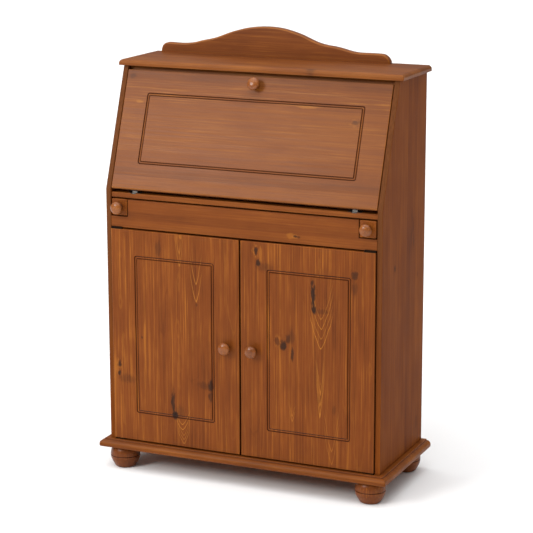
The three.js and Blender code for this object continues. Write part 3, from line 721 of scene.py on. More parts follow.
    rub = N.attribute("rub")
    # painted highlight: values above 0 lighten towards gold, partly wear on the edges
    light = N.mul(N.math("MAXIMUM", rub, 0.0), N.step(blotch, 0.3, 0.7, 0.18, 0.5))
    colour = N.mix(light, colour, shade(C["gold"], 1.02))
    if edge_tone:       # edges below 0 take edge_tone instead: painted shade, paled in place of sheen
        dull = N.mix(N.step(f1, 0.35, 0.65), shade(edge_tone, 0.9), shade(edge_tone, 1.12))
        colour = N.mix(N.math("MINIMUM", N.math("MAXIMUM", N.mul(rub, -3.2), 0.0), 1.0), colour, dull)
    else:
        # painted shade: values below 0 darken gaps, undercuts and hollows, partly stain in the routed grooves
        painted_shade = N.mul(N.math("MAXIMUM", N.mul(rub, -1.0), 0.0), 0.92)
        colour = N.mix(painted_shade, colour, shade(C["deep"], (0.42, 0.35, 0.33)))

    bsdf = N.new("ShaderNodeBsdfPrincipled")
    N.feed(bsdf.inputs["Base Color"], colour)
    rg = N.mad(N.sub(f1, 0.5), 0.22, rough)
    rg = N.mad(N.sub(fleck, 0.5), 0.10, rg)
    rg = N.mad(golden, -0.06, rg)
    N.feed(bsdf.inputs["Roughness"], rg)
    bsdf.inputs["Specular IOR Level"].default_value = spec
    bsdf.inputs["Coat Weight"].default_value = coat
    bsdf.inputs["Coat Roughness"].default_value = coat_rough
    bsdf.inputs["Coat IOR"].default_value = 1.48
    height = N.add(N.mul(f2, 0.55), N.mul(line_g, 0.35))
    height = N.mad(fleck, 0.35, height)
    height = N.mad(line_d, -0.25, height)
    if dark_sum is not None:
        height = N.mad(dark_sum, -0.5, height)
    bp = N.new("ShaderNodeBump")
    bp.inputs["Strength"].default_value = 0.55 * bump
    bp.inputs["Distance"].default_value = 0.00012
    N.feed(bp.inputs["Height"], height)
    N.nt.links.new(bp.outputs[0], bsdf.inputs["Normal"])
    out = N.new("ShaderNodeOutputMaterial")
    N.nt.links.new(bsdf.outputs[0], out.inputs[0])
    return N.mat


def metal(name, base, rough=0.3, brushed="x", grime=0.5):
    N = Nodes(name)
    P = N.position()
    k = {"x": (0.15, 3.2, 3.2), "y": (3.2, 0.15, 3.2), "z": (3.2, 3.2, 0.15)}[brushed]
    streak = N.noise(N.xyz(N.mul(P["x"], k[0]), N.mul(P["y"], k[1]), N.mul(P["z"], k[2])), 1.0, 3.0, 0.6)
    cloud = N.noise(P["v"], 0.09, 3.0, 0.55)
    c = N.mix(N.step(cloud, 0.38, 0.72), shade(base, 0.82), shade(base, 1.06))
    c = N.mix(N.mul(N.step(streak, 0.55, 0.75), 0.25), c, shade(base, 0.6))
    # painted shade: values below 0 darken the screw recesses and rims
    painted_shade = N.math("MAXIMUM", N.mul(N.attribute("rub"), -1.0), 0.0)
    c = N.mix(N.mul(painted_shade, 0.8), c, shade(base, 0.16))
    b = N.new("ShaderNodeBsdfPrincipled")
    N.feed(b.inputs["Base Color"], c)
    b.inputs["Metallic"].default_value = 1.0
    N.feed(b.inputs["Roughness"], N.mad(N.sub(streak, 0.5), 0.3, N.mad(cloud, 0.12 * grime, rough)))
    bp = N.new("ShaderNodeBump")
    bp.inputs["Strength"].default_value = 0.3
    bp.inputs["Distance"].default_value = 0.00004
    N.feed(bp.inputs["Height"], streak)
    N.nt.links.new(bp.outputs[0], b.inputs["Normal"])
    out = N.new("ShaderNodeOutputMaterial")
    N.nt.links.new(b.outputs[0], out.inputs[0])
    return N.mat


def plastic(name, base, rough=0.5):
    N = Nodes(name)
    P = N.position()
    grainy = N.noise(P["v"], 2.2, 2.0, 0.6)
    cloud = N.noise(P["v"], 0.06, 3.0, 0.5)
    c = N.mix(cloud, shade(base, 0.85), shade(base, 1.15))
    b = N.new("ShaderNodeBsdfPrincipled")
    N.feed(b.inputs["Base Color"], c)
    N.feed(b.inputs["Roughness"], N.mad(N.sub(grainy, 0.5), 0.18, rough))
    b.inputs["Specular IOR Level"].default_value = 0.05
    bp = N.new("ShaderNodeBump")
    bp.inputs["Strength"].default_value = 0.35
    bp.inputs["Distance"].default_value = 0.00006
    N.feed(bp.inputs["Height"], grainy)
    N.nt.links.new(bp.outputs[0], b.inputs["Normal"])
    out = N.new("ShaderNodeOutputMaterial")
    N.nt.links.new(b.outputs[0], out.inputs[0])
    return N.mat


def fibreboard(name, base):
    """thin brown backing board: pressed fibres, smooth and slightly mottled"""
    N = Nodes(name)
    P = N.position()
    mottled = N.noise(P["v"], 0.35, 4.0, 0.65)
    felt = N.noise(P["v"], 1.6, 3.0, 0.7)
    cloud = N.noise(P["v"], 0.012, 2.0, 0.5)
    c = N.mix(N.step(mottled, 0.3, 0.7), shade(base, 0.8), shade(base, 1.12))
    c = N.mix(N.mul(N.step(felt, 0.56, 0.72), 0.35), c, shade(base, 0.6))
    c = N.mix(N.mul(cloud, 0.3), c, shade(base, 1.25))
    b = N.new("ShaderNodeBsdfPrincipled")
    N.feed(b.inputs["Base Color"], c)
    N.feed(b.inputs["Roughness"], N.mad(felt, 0.2, 0.6))
    bp = N.new("ShaderNodeBump")
    bp.inputs["Strength"].default_value = 0.5
    bp.inputs["Distance"].default_value = 0.0001
    N.feed(bp.inputs["Height"], felt)
    N.nt.links.new(bp.outputs[0], b.inputs["Normal"])
    out = N.new("ShaderNodeOutputMaterial")
    N.nt.links.new(b.outputs[0], out.inputs[0])
    return N.mat


# staves: (starts at, tone, heart line, where along the grain, its tilt, share of gold), in millimetres of the row frame
LEFT_STAVES = [
    (-400, 0.58, -352, 250, 0.05, 0.8), (-326, 0.62, -290, 960, 0.045, 0.8), (-282, 0.57, -250, -150, 0.05, 0.7), (-238, 0.52, -228, 700, 0.06, 0.5),
    (-213, 0.56, -181, 262, 0.06, 0.8), (-150, 0.45, -137, 750, 0.0735, 0.5), (-96, 0.53, -60, -260, 0.05, 0.5), (-40, 0.55, -20, 1050, 0.05, 0.6),
]
RIGHT_STAVES = [
    (0, 0.53, 40, 660, 0.07, 0.5), (74, 0.61, 105, 930, 0.05, 0.9), (122, 0.54, 130, 300, 0.06, 0.6), (152, 0.49, 186, -150, 0.06, 0.5),
    (197, 0.55, 226, 620, 0.05, 0.8), (264, 0.49, 300, 880, 0.05, 0.6), (312, 0.46, 340, 610, 0.06, 0.5), (352, 0.51, 366, 200, 0.05, 0.6),
]
# knots: (along the grain, across it, half length, half width, kind, strength)
LEFT_KNOTS = [
    (299, -361, 10, 6, "amber", 0.9), (272, -361, 8, 5, "dark", 0.85), (258, -338, 12, 24, "soft", 0.75), (290, -368, 24, 5, "gold", 0.5),
    (208, -199, 34, 6, "dark", 0.85), (172, -195, 14, 10, "dark", 1.0), (184, -178, 16, 14, "soft", 0.7), (268, -85, 20, 8, "dark", 0.85), (235, -86, 15, 6, "dark", 0.65),
    (266, -106, 10, 20, "soft", 0.85), (668, -172, 8, 4, "gold", 0.7), (628, -238, 22, 9, "soft", 0.8), (379, -290, 4, 3, "dark", 0.5), (486, -126, 5, 3, "dark", 0.4),
]
RIGHT_KNOTS = [
    (648, 47, 11, 6, "amber", 0.9), (617, 52, 9, 6, "dark", 0.85), (608, 70, 11, 24, "soft", 0.75), (638, 60, 22, 5, "gold", 0.55), (608, 324, 12, 9, "dark", 0.66),
    (574, 324, 18, 8, "soft", 0.9), (580, 206, 9, 4, "dark", 0.75), (545, 209, 32, 7, "dark", 0.92), (509, 212, 13, 7, "dark", 0.92), (505, 234, 7, 18, "soft", 0.75),
    (404, 126, 15, 9, "dark", 0.85), (382, 150, 20, 4.5, "dark", 0.75), (424, 138, 14, 8, "dark", 0.6), (430, 148, 20, 8, "soft", 0.9), (412, 108, 12, 7, "amber", 0.5), (244, 268, 14, 5, "soft", 0.7),
]
# golden arches: (tip along the grain, across it, how pointed, step, how many, half width, strength)
LEFT_VEES = [(498, -127, 0.20, 46, 2, 17, 0.8), (132, -172, 0.065, 15, 2, 24, 0.9), (92, -169, 0.10, 12, 3, 18, 0.75), (592, -176, 0.3, 34, 2, 14, 0.65)]
RIGHT_VEES = [(409, 231, 0.095, 27, 4, 32, 0.95), (223, 229, 0.5, 30, 3, 11, 1.0), (205, 150, 0.2, 14, 2, 8, 0.55), (96, 262, 0.2, 34, 2, 22, 0.5)]

M = {}
M["door_l"] = pine("pine_door_left", "z", "x", "y", 1.0, LEFT_STAVES, (-400, 0), knots=LEFT_KNOTS, gspan=(85, 674), arches=True, ring=6.5, contrast=0.9, gold=0.6, meander=5.0, vees=LEFT_VEES, tint=0.955)
M["door_r"] = pine("pine_door_right", "z", "x", "y", 2.0, RIGHT_STAVES, (0, 400), knots=RIGHT_KNOTS, gspan=(85, 674), arches=True, ring=6.5, contrast=0.9, gold=0.6, meander=5.0, vees=RIGHT_VEES, tint=0.955)
# the drop front's tint is paled in green and blue: painted sheen in the base colour
M["fall"] = pine("pine_drop_front", "x", "z", "y", 3.0, stave_w=62, gspan=(-400, 400), tilt=0.03, contrast=0.5, gold=0.4, ring=5.0, meander=7.0, gfine=0.45, spec=0.18, coat=0.0, tint=(0.955, 1.06, 1.12),
                 knots=[(289, 988, 9, 6, "amber", 0.55), (300, 990, 5, 5, "soft", 0.7), (-362, 1071, 9, 7, "soft", 0.9), (-330, 1006, 12, 4, "gold", 0.6), (150, 1018, 30, 4, "gold", 0.5)])
M["rail"] = pine("pine_front_rail", "x", "z", "y", 4.0, stave_w=70, gspan=(-400, 400), tilt=0.03, contrast=0.55, gold=0.45, meander=7.0, tint=(0.95, 0.98, 1.05),
                 knots=[(155, 695, 6, 4, "amber", 0.9), (143, 695, 12, 9, "gold", 0.5), (164, 694, 6, 3, "dark", 0.6), (-345, 715, 10, 4, "soft", 0.9)])
M["loper"] = pine("pine_loper", "y", "x", "z", 5.0, stave_w=60, gspan=(-150, 150), contrast=0.8, gold=0.5)
M["board"] = pine("pine_writing_board", "x", "y", "z", 6.0, stave_w=70, gspan=(-400, 400), tilt=0.05, contrast=0.8, gold=0.6, tint=(0.9, 0.93, 1.0), knots=[(-120, 40, 12, 7, "dark", 0.8), (210, -60, 9, 6, "amber", 0.8)])
# edge_tone: the darker, paler colour painted on the side panels' front edges as shade
M["side"] = pine("pine_side", "z", "y", "x", 7.0, edge_tone=lin(98, 58, 32), stave_w=66, gspan=(80, 1100), tilt=0.03, contrast=0.75, gold=0.35, stripes=0.6, ring=5.5, gfine=0.25, spec=0.012, coat=0.0, tint=(0.86, 0.86, 0.95),
                 knots=[(612, -54, 10, 4, "dark", 0.8), (700, 79, 26, 5, "dark", 0.42), (662, 86, 20, 5, "dark", 0.4), (730, 70, 18, 4, "soft", 0.9), (672, 66, 34, 4, "soft", 0.8), (142, 127, 22, 6, "soft", 1.0), (560, 120, 8, 4, "soft", 0.7)])
# the top's tint is paled in green and blue: painted sheen in the base colour
M["top"] = pine("pine_top", "x", "y", "z", 8.0, stave_w=72, gspan=(-400, 400), tilt=0.03, contrast=0.75, gold=0.45, meander=7.0, gfine=0.5, spec=0.11, tint=(0.93, 1.02, 1.14), knots=[(150, -36, 12, 9, "soft", 0.9)])
# the crest's tint is lighter and paler: painted sheen in the base colour
M["crest"] = pine("pine_crest", "x", "z", "y", 9.0, stave_w=55, gspan=(-400, 400), tilt=0.02, contrast=0.75, gold=0.35, ring=5.0, meander=6.0, gfine=0.3, spec=0.14, tint=(1.04, 1.12, 1.3))
M["base"] = pine("pine_base", "x", "y", "z", 10.0, stave_w=60, gspan=(-400, 400), tilt=0.03, contrast=0.8, gold=0.5, tint=(0.96, 1.02, 1.12))
M["foot"] = pine("turned_foot", "z", "x", "y", 11.0, stave_w=55, gspan=(0, 60), tilt=0.1, contrast=0.7, gold=0.4, rough=0.34, coat=0.06, coat_rough=0.2, spec=0.15, tint=(0.85, 0.85, 0.95))
# the knobs' tint is paled: painted sheen standing in for their highlights
M["knob"] = pine("turned_knob", "y", "x", "z", 12.0, stave_w=30, gspan=(-180, -140), tilt=0.1, ring=3.4, contrast=0.8, gold=0.5, rough=0.34, coat=0.4, coat_rough=0.2, spec=0.18, tint=(1.05, 1.10, 1.22))
M["inner"] = pine("pine_inner", "x", "y", "z", 13.0, stave_w=80, gspan=(-400, 400), contrast=0.8, gold=0.8, tint=(1.35, 1.55, 1.7), rough=0.5, coat=0.08,
                  knots=[(-220, 60, 12, 8, "amber", 0.8), (180, 110, 14, 8, "dark", 0.6)])
M["inner_up"] = pine("pine_inner_upright", "z", "y", "x", 14.0, stave_w=70, gspan=(900, 1100), contrast=0.8, gold=0.8, tint=(1.35, 1.55, 1.7), rough=0.5, coat=0.08)
M["backing"] = fibreboard("backing_board", lin(128, 84, 52))
# the steel is kept very dark so the hinge knuckles seen in the drop-front gap look shaded: painted shade
M["steel"] = metal("zinc_steel", (0.15, 0.14, 0.13), 0.5)
# near-black and dull: painted shadow, so the door pivot leaves read as the dark gap
M["bronze"] = plastic("dark_bronze", (0.016, 0.008, 0.004), 0.7)
M["catch"] = plastic("catch_plastic", lin(84, 54, 38))


# =====================================================================================
# camera, at the photograph's viewing angle
# =====================================================================================
cam_data = bpy.data.cameras.new("view")
cam = bpy.data.objects.new("view", cam_data)
bpy.context.scene.collection.objects.link(cam)
cam.location = row((2033.788, -4384.521, 1747.645))
cam.rotation_euler = (math.radians(90 - 12.6958), 0.0, math.radians(23.4907))
cam_data.sensor_width = 36.0
cam_data.lens = 1900.328 * 36.0 / 533.0
cam_data.shift_x = (266.5 - 285.363) / 533.0
cam_data.shift_y = (245.0 - 266.5) / 533.0
cam_data.clip_start, cam_data.clip_end = 0.1, 200.0
bpy.context.scene.camera = cam

# =====================================================================================
# carcass
# =====================================================================================
(tx0, ty0, tz0), (tx1, ty1, tz1) = node_mm("top_board")
(bx0, by0, bz0), (bx1, by1, bz1) = node_mm("base_board")


def moulded(x0, x1, yf, yb, profile, corner, seg=5):
    """a board moulded on its front and two ends: loops of the moulding's section, the back edge plain"""
    loops = []
    for dist, z in profile:
        r = max(corner - dist * 0.0, 0.4)
        L = []
        for cx, cy, a0, rr in ((x1 - dist, yb, 0, 0.3), (x0 + dist, yb, 90, 0.3), (x0 + dist, yf + dist, 180, r), (x1 - dist, yf + dist, 270, r)):
            sx = -1 if cx > 0 else 1
            sy = -1 if cy > (yf + yb) / 2 else 1
            ox, oy = cx + sx * rr, cy + sy * rr
            for i in range(seg + 1):
                a = math.radians(a0 + 90 * i / seg)
                L.append((ox + rr * math.cos(a), oy + rr * math.sin(a), z))
        loops.append(L)
    return loops


def dense(profile, steps=4):
    return catmull(profile, steps)


lip = dense([(0.6, tz0), (0.1, tz0 + 0.5), (0.0, tz0 + 1.4), (0.0, tz0 + 6.6), (0.35, tz0 + 8.6), (1.5, tz0 + 10.9), (3.2, tz0 + 12.8), (5.6, tz0 + 14.5), (8.0, tz0 + 15.55), (10.6, tz1)], 3)
# lip tones: painted highlight on the rounded lip, painted shade along its lowest edge
tones = [0.2 if 6.5 < z - tz0 < 14.8 else (-0.8 if z - tz0 < 0.3 else 0.0) for _, z in lip]
top_loops = moulded(tx0, tx1, ty0, ty1, lip, 2.2)
guard = moulded(tx0, tx1, ty0, ty1, [(12.5, tz1)], 2.2)
top = put("top_board_fine", loft(top_loops + guard, tones + [0.0]), M["top"], "carcass", "pine_top", ["top_board"])
(cx0, cy0, cz0), (cx1, cy1, cz1) = node_mm("crest_board")
carve(top, [(tx0 - 5, tx1 + 5, cy0 - 0.3, ty1 + 5, cz0 - 0.3, tz1 + 5)])

nose = dense([(4.2, bz0), (2.2, bz0 + 0.6), (0.9, bz0 + 1.7), (0.15, bz0 + 3.6), (0.0, bz0 + 5.2), (0.0, bz0 + 8.8), (0.5, bz0 + 11.6), (1.9, bz0 + 14.5), (4.0, bz0 + 16.9), (6.6, bz0 + 18.5), (9.4, bz0 + 19.3),
              (11.2, bz0 + 19.7)], 3)
nose = nose[:-1] + [(11.5, bz0 + 19.75), (11.75, bz0 + 20.2), (12.1, bz0 + 21.6), (12.5, bz0 + 22.1), (13.2, bz1)]
# nose tones: painted highlight on the rounded nose, painted shade in the small step at its top
tones = [0.28 if 9.0 < z - bz0 < 18.0 else (-0.75 if 19.5 < z - bz0 < 21.2 else 0.0) for _, z in nose]
base_loops = moulded(bx0, bx1, by0, by1, nose, 1.6)
guard = moulded(bx0, bx1, by0, by1, [(15.5, bz1)], 1.6)
base = put("base_board_fine", loft(base_loops + guard, tones + [0.0]), M["base"], "carcass", "pine_base", ["base_board"])
seats = []
for s in ("left", "right"):
    (a0, a1, a2), (b0, b1, b2) = node_mm(f"door_pivot_base_{s}")
    seats.append((a0 - 0.3, b0 + 0.3, a1 - 0.3, b1 + 0.3, a2 - 0.3, bz1 + 4))
carve(base, seats)

for s, k in (("left", -1), ("right", 1)):
    (x0, y0, z0), (x1, y1, z1) = node_mm(f"side_panel_{s}")
    run = (z1 - KNEE_Z) * math.tan(SLOPE)
    outline = [(y0, z0), (y1, z0), (y1, z1), (run, z1), (y0, KNEE_Z)]
    panel = prism(outline, x0, x1, "x", 1.5, 3, 0.12)
    for i, (vx, vy, vz) in enumerate(panel.v):      # painted shade on the narrow front edges, paled in place of sheen
        if x0 + 0.4 < vx < x1 - 0.4 and vy < max(y0, (vz - KNEE_Z) * math.tan(SLOPE)) + 0.9 and vz > z0 + 3:
            panel.t[i] = -0.34
    put(f"side_panel_{s}_fine", panel, M["side"], "carcass", "pine_side", [f"side_panel_{s}"])

# scrolled crest: the outline of its upper edge, then rounded over at the front
CREST = [(-375.6, 0), (-374.6, 9), (-371.5, 17), (-366, 23), (-358, 26.3), (-344, 26.8), (-325, 26.2), (-307, 26.4), (-289, 28),
         (-270, 31.6), (-252, 36.6), (-233, 40.7), (-215, 45), (-197, 50.8), (-179, 57.8), (-161, 64.3), (-142, 70),
         (-125, 74.4), (-107, 77.8), (-89, 80.2), (-71, 81.7), (-53, 82.2), (-35, 81.6), (-18, 80), (0, 77), (17, 72.9),
         (35, 67.7), (53, 61.4), (70, 54.3), (87, 47.6), (105, 42.6), (122, 39.6), (139, 37.6), (157, 34.6), (174, 30.6),
         (191, 26.8), (208, 24.8), (225, 24.4), (242, 24.6), (259, 24.6), (278, 23.6), (288, 19.6), (294.5, 13), (298.6, 6.5), (299.8, 0)]
top_z = cz1 - 82.2
curve = catmull([(x, top_z + z) for x, z in CREST], 4)
curve[0] = (cx0, cz0)
curve[-1] = (cx1, cz0)


def inset(line, r):
    """the open line moved inwards by r, its two ends kept on the foot"""
    out = []
    for i, (x, z) in enumerate(line):
        ax, az = line[max(i - 1, 0)]
        bx_, bz_ = line[min(i + 1, len(line) - 1)]
        dx, dz = bx_ - ax, bz_ - az
        n = math.hypot(dx, dz) or 1
        nx, nz = dz / n, -dx / n
        if i in (0, len(line) - 1):
            out.append((x + (r if i == 0 else -r), z))
        else:
            out.append((x + nx * r, max(z + nz * r, cz0 + 0.05)))
    return out


# the crest's rounded edges get a painted highlight, lightest halfway round the front rounding
loops, tones = [], []
R_BACK, R_FRONT = 1.6, 4.6
for k in range(4):
    a = math.radians(90 * k / 3)
    loops.append([(x, cy1 - R_BACK * (1 - math.cos(a)), z) for x, z in inset(curve, R_BACK * (1 - math.sin(a)))])
    tones.append((0, 0.6, 0.6, 0)[k])
loops.append([(x, cy0 + R_FRONT + 0.8, z) for x, z in curve]); tones.append(0.0)
for k in range(9):
    a = math.radians(90 * k / 8)
    loops.append([(x, cy0 + R_FRONT * (1 - math.sin(a)), z) for x, z in inset(curve, R_FRONT * (1 - math.cos(a)))])
    tones.append((0, 0.1, 0.3, 0.6, 0.85, 1, 0.9, 0.5, 0.0)[k])
loops.append([(x, cy0, z) for x, z in inset(curve, R_FRONT + 1.5)]); tones.append(0.0)
put("crest_board_fine", loft(loops, tones), M["crest"], "carcass", "pine_top", ["crest_board"], smooth=40)

# front rail with its two notches and hinge seats
(rx0, ry0, rz0), (rx1, ry1, rz1) = node_mm("front_rail")
nx, nz = 330.7, 706.5
# its eased edges are darkened: painted shade deepening the gap lines along the rail
rail = put("front_rail_fine", prism([(rx0, rz0), (rx1, rz0), (rx1, nz), (nx, nz), (nx, rz1), (-nx, rz1), (-nx, nz), (rx0, nz)], ry0, ry1, "y", 0.9, 3, -0.6),
           M["rail"], "carcass", "pine_rail", ["front_rail"])
seats = []
for s in ("left", "right"):
    (a0, a1, a2), (b0, b1, b2) = node_mm(f"door_pivot_rail_{s}")
    seats.append((a0 - 0.3, b0 + 0.3, a1 - 6, b1 + 0.3, rz0 - 4, b2 + 0.3))
carve(rail, seats)

# writing board, its seats for the drop-front hinges cut as in the real board
(wx0, wy0, wz0), (wx1, wy1, wz1) = node_mm("writing_board")
plank = bar(wx0, wx1, wy0, wy1, wz0, wz1, 1.4, 3, 0.2)
for i, (vx, vy, vz) in enumerate(plank.v):      # painted shade under the board, for the dark line above the rail
    if vz < wz0 + 0.9:
        plank.t[i] = -0.7
board = put("writing_board_fine", plank, M["board"], "carcass", "pine_rail", ["writing_board"])
PIV_Y, PIV_Z = 11.36, 768.1
seats = []
for x in (-315, 315):
    seats.append((x - 19.3, x + 19.3, PIV_Y - 3.5, 38.4, wz1 - 1.8, wz1 + 3))
    seats.append((x - 7.3, x + 7.3, wy0 - 2, PIV_Y, wz1 - 1.8, wz1 + 3))
    seats.append((x - 19.3, x + 19.3, PIV_Y - 3.5, PIV_Y + 3.5, PIV_Z - 3.4, wz1 + 3))
carve(board, seats)

for node, mat, slot in (("cabinet_shelf", "inner", "pine_inner"), ("pigeonhole_shelf", "inner", "pine_inner"),
                        ("pigeonhole_divider_left", "inner_up", "pine_inner"), ("pigeonhole_divider_right", "inner_up", "pine_inner")):
    (x0, y0, z0), (x1, y1, z1) = node_mm(node)
    put(node + "_fine", bar(x0, x1, y0, y1, z0, z1, 1.3, 3, 0.6), M[mat], "carcass", slot, [node])
(x0, y0, z0), (x1, y1, z1) = node_mm("back_panel")
put("back_panel_fine", bar(x0, x1, y0, y1, z0, z1, 0.5, 2, 0.3), M["backing"], "carcass", "backing_board", ["back_panel"])

(x0, y0, z0), (x1, y1, z1) = node_mm("fall_stop_batten")


def inner_y(z):
    return (z - KNEE_Z) * math.tan(SLOPE) + 16.5 / math.cos(SLOPE)


put("fall_stop_batten_fine", prism([(inner_y(z0) + 0.5, z0), (y1, z0), (y1, z1), (inner_y(z1) + 0.5, z1)], x0, x1, "x", 0.8, 2, 0.5), M["inner"], "carcass", "pine_inner", ["fall_stop_batten"])
for s, k in (("left", -1), ("right", 1)):
    (x0, y0, z0), (x1, y1, z1) = node_mm(f"loper_guide_{s}")
    o = [(k * 380.7, 694), (k * 319.5, 694), (k * 319.5, 722), (k * 331.5, 722), (k * 331.5, 708.9), (k * 380.7, 708.9)]
    put(f"loper_guide_{s}_fine", prism(o, y0, y1, "y", 0.8, 2, 0.5), M["inner"], "carcass", "pine_inner", [f"loper_guide_{s}"])
    for r in ("front", "rear"):
        (x0, y0, z0), (x1, y1, z1) = node_mm(f"shelf_pin_{r}_{s}")
        L = x1 - x0
        prof = [(0, 0), (2.1, 0), (2.75, 0.35), (3.0, 1.0), (3.0, L - 8.6), (3.0, L - 1.0), (2.75, L - 0.35), (2.1, L), (0, L)]
        put(f"shelf_pin_{r}_{s}_fine", lathe(prof, (x0, (y0 + y1) / 2, (z0 + z1) / 2), "x", 28), M["steel"], "carcass", "bright_steel", [f"shelf_pin_{r}_{s}"], smooth=50)

# bun feet, turned, with a scratched line round the widest part
FOOT = dense([(23.6, 0.0), (24.5, 0.5), (26.6, 1.3), (28.6, 2.9), (31.2, 7.2), (34.2, 12.4), (36.6, 17.2), (38.7, 22.2), (40.0, 26.6), (40.45, 30.4), (40.4, 32.0)], 3)
GROOVE = [(40.0, 32.5), (39.2, 33.0), (38.9, 33.4), (39.2, 33.8), (40.0, 34.3)]
CROWN = dense([(40.45, 34.9), (40.5, 37.4), (40.1, 41.2), (39.3, 45.6), (38.1, 50.0), (36.4, 53.7), (34.9, 55.9), (34.3, 57.2), (34.1, 59.2)], 3)
prof = [(0.0, 0.4), (18.0, 0.4), (21.5, 0.2), (22.6, 0.0)] + FOOT + GROOVE + CROWN + [(0.0, 59.2)]
# the groove's vertices are darkened: painted shade in the groove
ft = [0.0] * 4 + [0.0] * len(FOOT) + [-0.5, -1.0, -1.0, -1.0, -0.5] + [0.0] * len(CROWN) + [0.0]
for r in ("front", "rear"):
    for s in ("left", "right"):
        n = f"foot_{r}_{s}"
        (x0, y0, z0), (x1, y1, z1) = node_mm(n)
        put(n + "_fine", lathe(prof, ((x0 + x1) / 2, (y0 + y1) / 2, 0), "z", 72, ft), M["foot"], "carcass", "turned_pine_foot", [n], smooth=40)

# =====================================================================================
# drop front, lopers, doors
# =====================================================================================
fall = slab(-379.4, 379.4, -0.5, 16.5, 3.4, 328.3, edge=(1.6, 1.6, 5.5, 2.0), depth=3.0, back_edge=1.0, ring=(-312, 312, 73, 267.5), ring_w=9.2, ring_r=7.0).move(lean)
fall = put("fall_front_fine", fall, M["fall"], "drop_front", "pine_fall", ["fall_front"])
carve(fall, [(x - 19.3, x + 19.3, 14.7, 19, 0, 26.3, lean) for x in (-315, 315)])

for s, k in (("left", -1), ("right", 1)):
    (x0, y0, z0), (x1, y1, z1) = node_mm(f"loper_{s}")
    put(f"loper_{s}_fine", bar(x0, x1, y0, y1, z0, z1, 1.7, 4, 0.25), M["loper"], f"{s}_loper", "pine_rail", [f"loper_{s}"])
    (x0, y0, z0), (x1, y1, z1) = node_mm(f"loper_stop_peg_{s}")
    L = x1 - x0
    put(f"loper_stop_peg_{s}_fine", lathe([(0, 0), (3.1, 0), (3.8, 0.5), (4.0, 1.3), (4.0, L - 1.3), (3.8, L - 0.5), (3.1, L), (0, L)], (x0, (y0 + y1) / 2, (z0 + z1) / 2), "x", 28),
        M["inner"], f"{s}_loper", "pine_inner", [f"loper_stop_peg_{s}"], smooth=50)

    (x0, y0, z0), (x1, y1, z1) = node_mm(f"door_{s}")
    outer, inner = 3.2, 2.6
    edge = (outer, inner, 1.8, 1.8) if k < 0 else (inner, outer, 1.8, 1.8)
    ring = (-310.5, -74.5, 164.2, 603.6) if k < 0 else (77, 313.5, 162.6, 602.4)
    door = put(f"door_{s}_fine", slab(x0 + (0.3 if k < 0 else 0.8), x1 - (0.8 if k < 0 else 0.3), y0, y1, z0 + 0.8, z1 - 0.8, edge=edge, depth=2.8, back_edge=1.0, ring=ring, ring_w=9.2, ring_r=6.5),
               M["door_l" if k < 0 else "door_r"], f"{s}_door", "pine_door", [f"door_{s}"])
    seats = []
    for lv in ("lower", "upper"):
        (a0, a1, a2), (b0, b1, b2) = node_mm(f"door_leaf_{lv}_{s}")
        seats.append((a0 - 0.3, b0 + 0.3, a1 - 0.3, b1 + 0.3, (z0 - 3) if lv == "lower" else a2 - 0.3, (b2 + 0.3) if lv == "lower" else z1 + 3))
    carve(door, seats)

# =====================================================================================
# knobs: turned, mushroom shaped
# =====================================================================================
KNOB = [(9.5, 0.0), (9.75, 0.7), (9.5, 1.8), (8.6, 3.3), (7.6, 5.2), (7.15, 7.6), (7.3, 9.4), (8.6, 11.0), (11.2, 12.4), (14.2, 13.9), (16.1, 15.6), (16.8, 17.8), (16.5, 19.8), (15.3, 21.9), (13.2, 23.9), (10.4, 25.4), (7.0, 26.5), (3.5, 27.0)]
knob_prof = [(0.0, 0.0)] + dense(KNOB, 3) + [(0.0, 27.0)]
# knob tones: painted shade on the neck and underside, painted highlight on the dome
knob_tone = [0.0] + [(-0.8 if h < 10.5 else (-0.35 if h < 14.5 else (-0.15 if h < 18.5 else (0.2 if h < 23.5 else 0.32)))) for _, h in dense(KNOB, 3)] + [0.3]
for s, k in (("left", -1), ("right", 1)):
    (x0, y0, z0), (x1, y1, z1) = node_mm(f"door_knob_{s}")
    put(f"door_knob_{s}_fine", lathe(knob_prof, ((x0 + x1) / 2, y1, (z0 + z1) / 2), "-y", 56, knob_tone), M["knob"], f"{s}_door", "turned_pine_knob", [f"door_knob_{s}"], smooth=60)
    (x0, y0, z0), (x1, y1, z1) = node_mm(f"loper_knob_{s}")
    spigot = [(0.0, -14.0), (3.6, -14.0), (4.0, -13.4), (4.0, 0.0)] + dense(KNOB, 3) + [(0.0, 27.0)]
    st = [0.0] * 4 + knob_tone[1:]
    put(f"loper_knob_{s}_fine", lathe(spigot, ((x0 + x1) / 2, y0 + 27.0, (z0 + z1) / 2), "-y", 56, st), M["knob"], f"{s}_loper", "turned_pine_knob", [f"loper_knob_{s}"], smooth=60)
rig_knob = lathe(knob_prof, (0, -0.8, 304.4), "-y", 56, knob_tone).move(lean)
put("fall_knob_fine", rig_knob, M["knob"], "drop_front", "turned_pine_knob", ["fall_knob"], smooth=60)


def screw_head(centre, axis, length, slot_w=0.9):
    """round-head screw with a shallow round dimple at the centre, painted dark as shade, and a plain shank"""
    prof_ = [(0.0, -1.15), (0.55, -1.25), (1.2, -1.75), (2.0, -1.7), (3.0, -1.35), (3.8, -0.8), (4.2, -0.25), (4.2, 0.0), (2.0, 0.05), (2.0, length - 2.0), (0.6, length), (0.0, length)]
    t = [-1.0, -1.0, -0.4, 0, 0, 0, 0, 0, 0, 0, 0, 0]
    return lathe(prof_, centre, axis, 32, t)


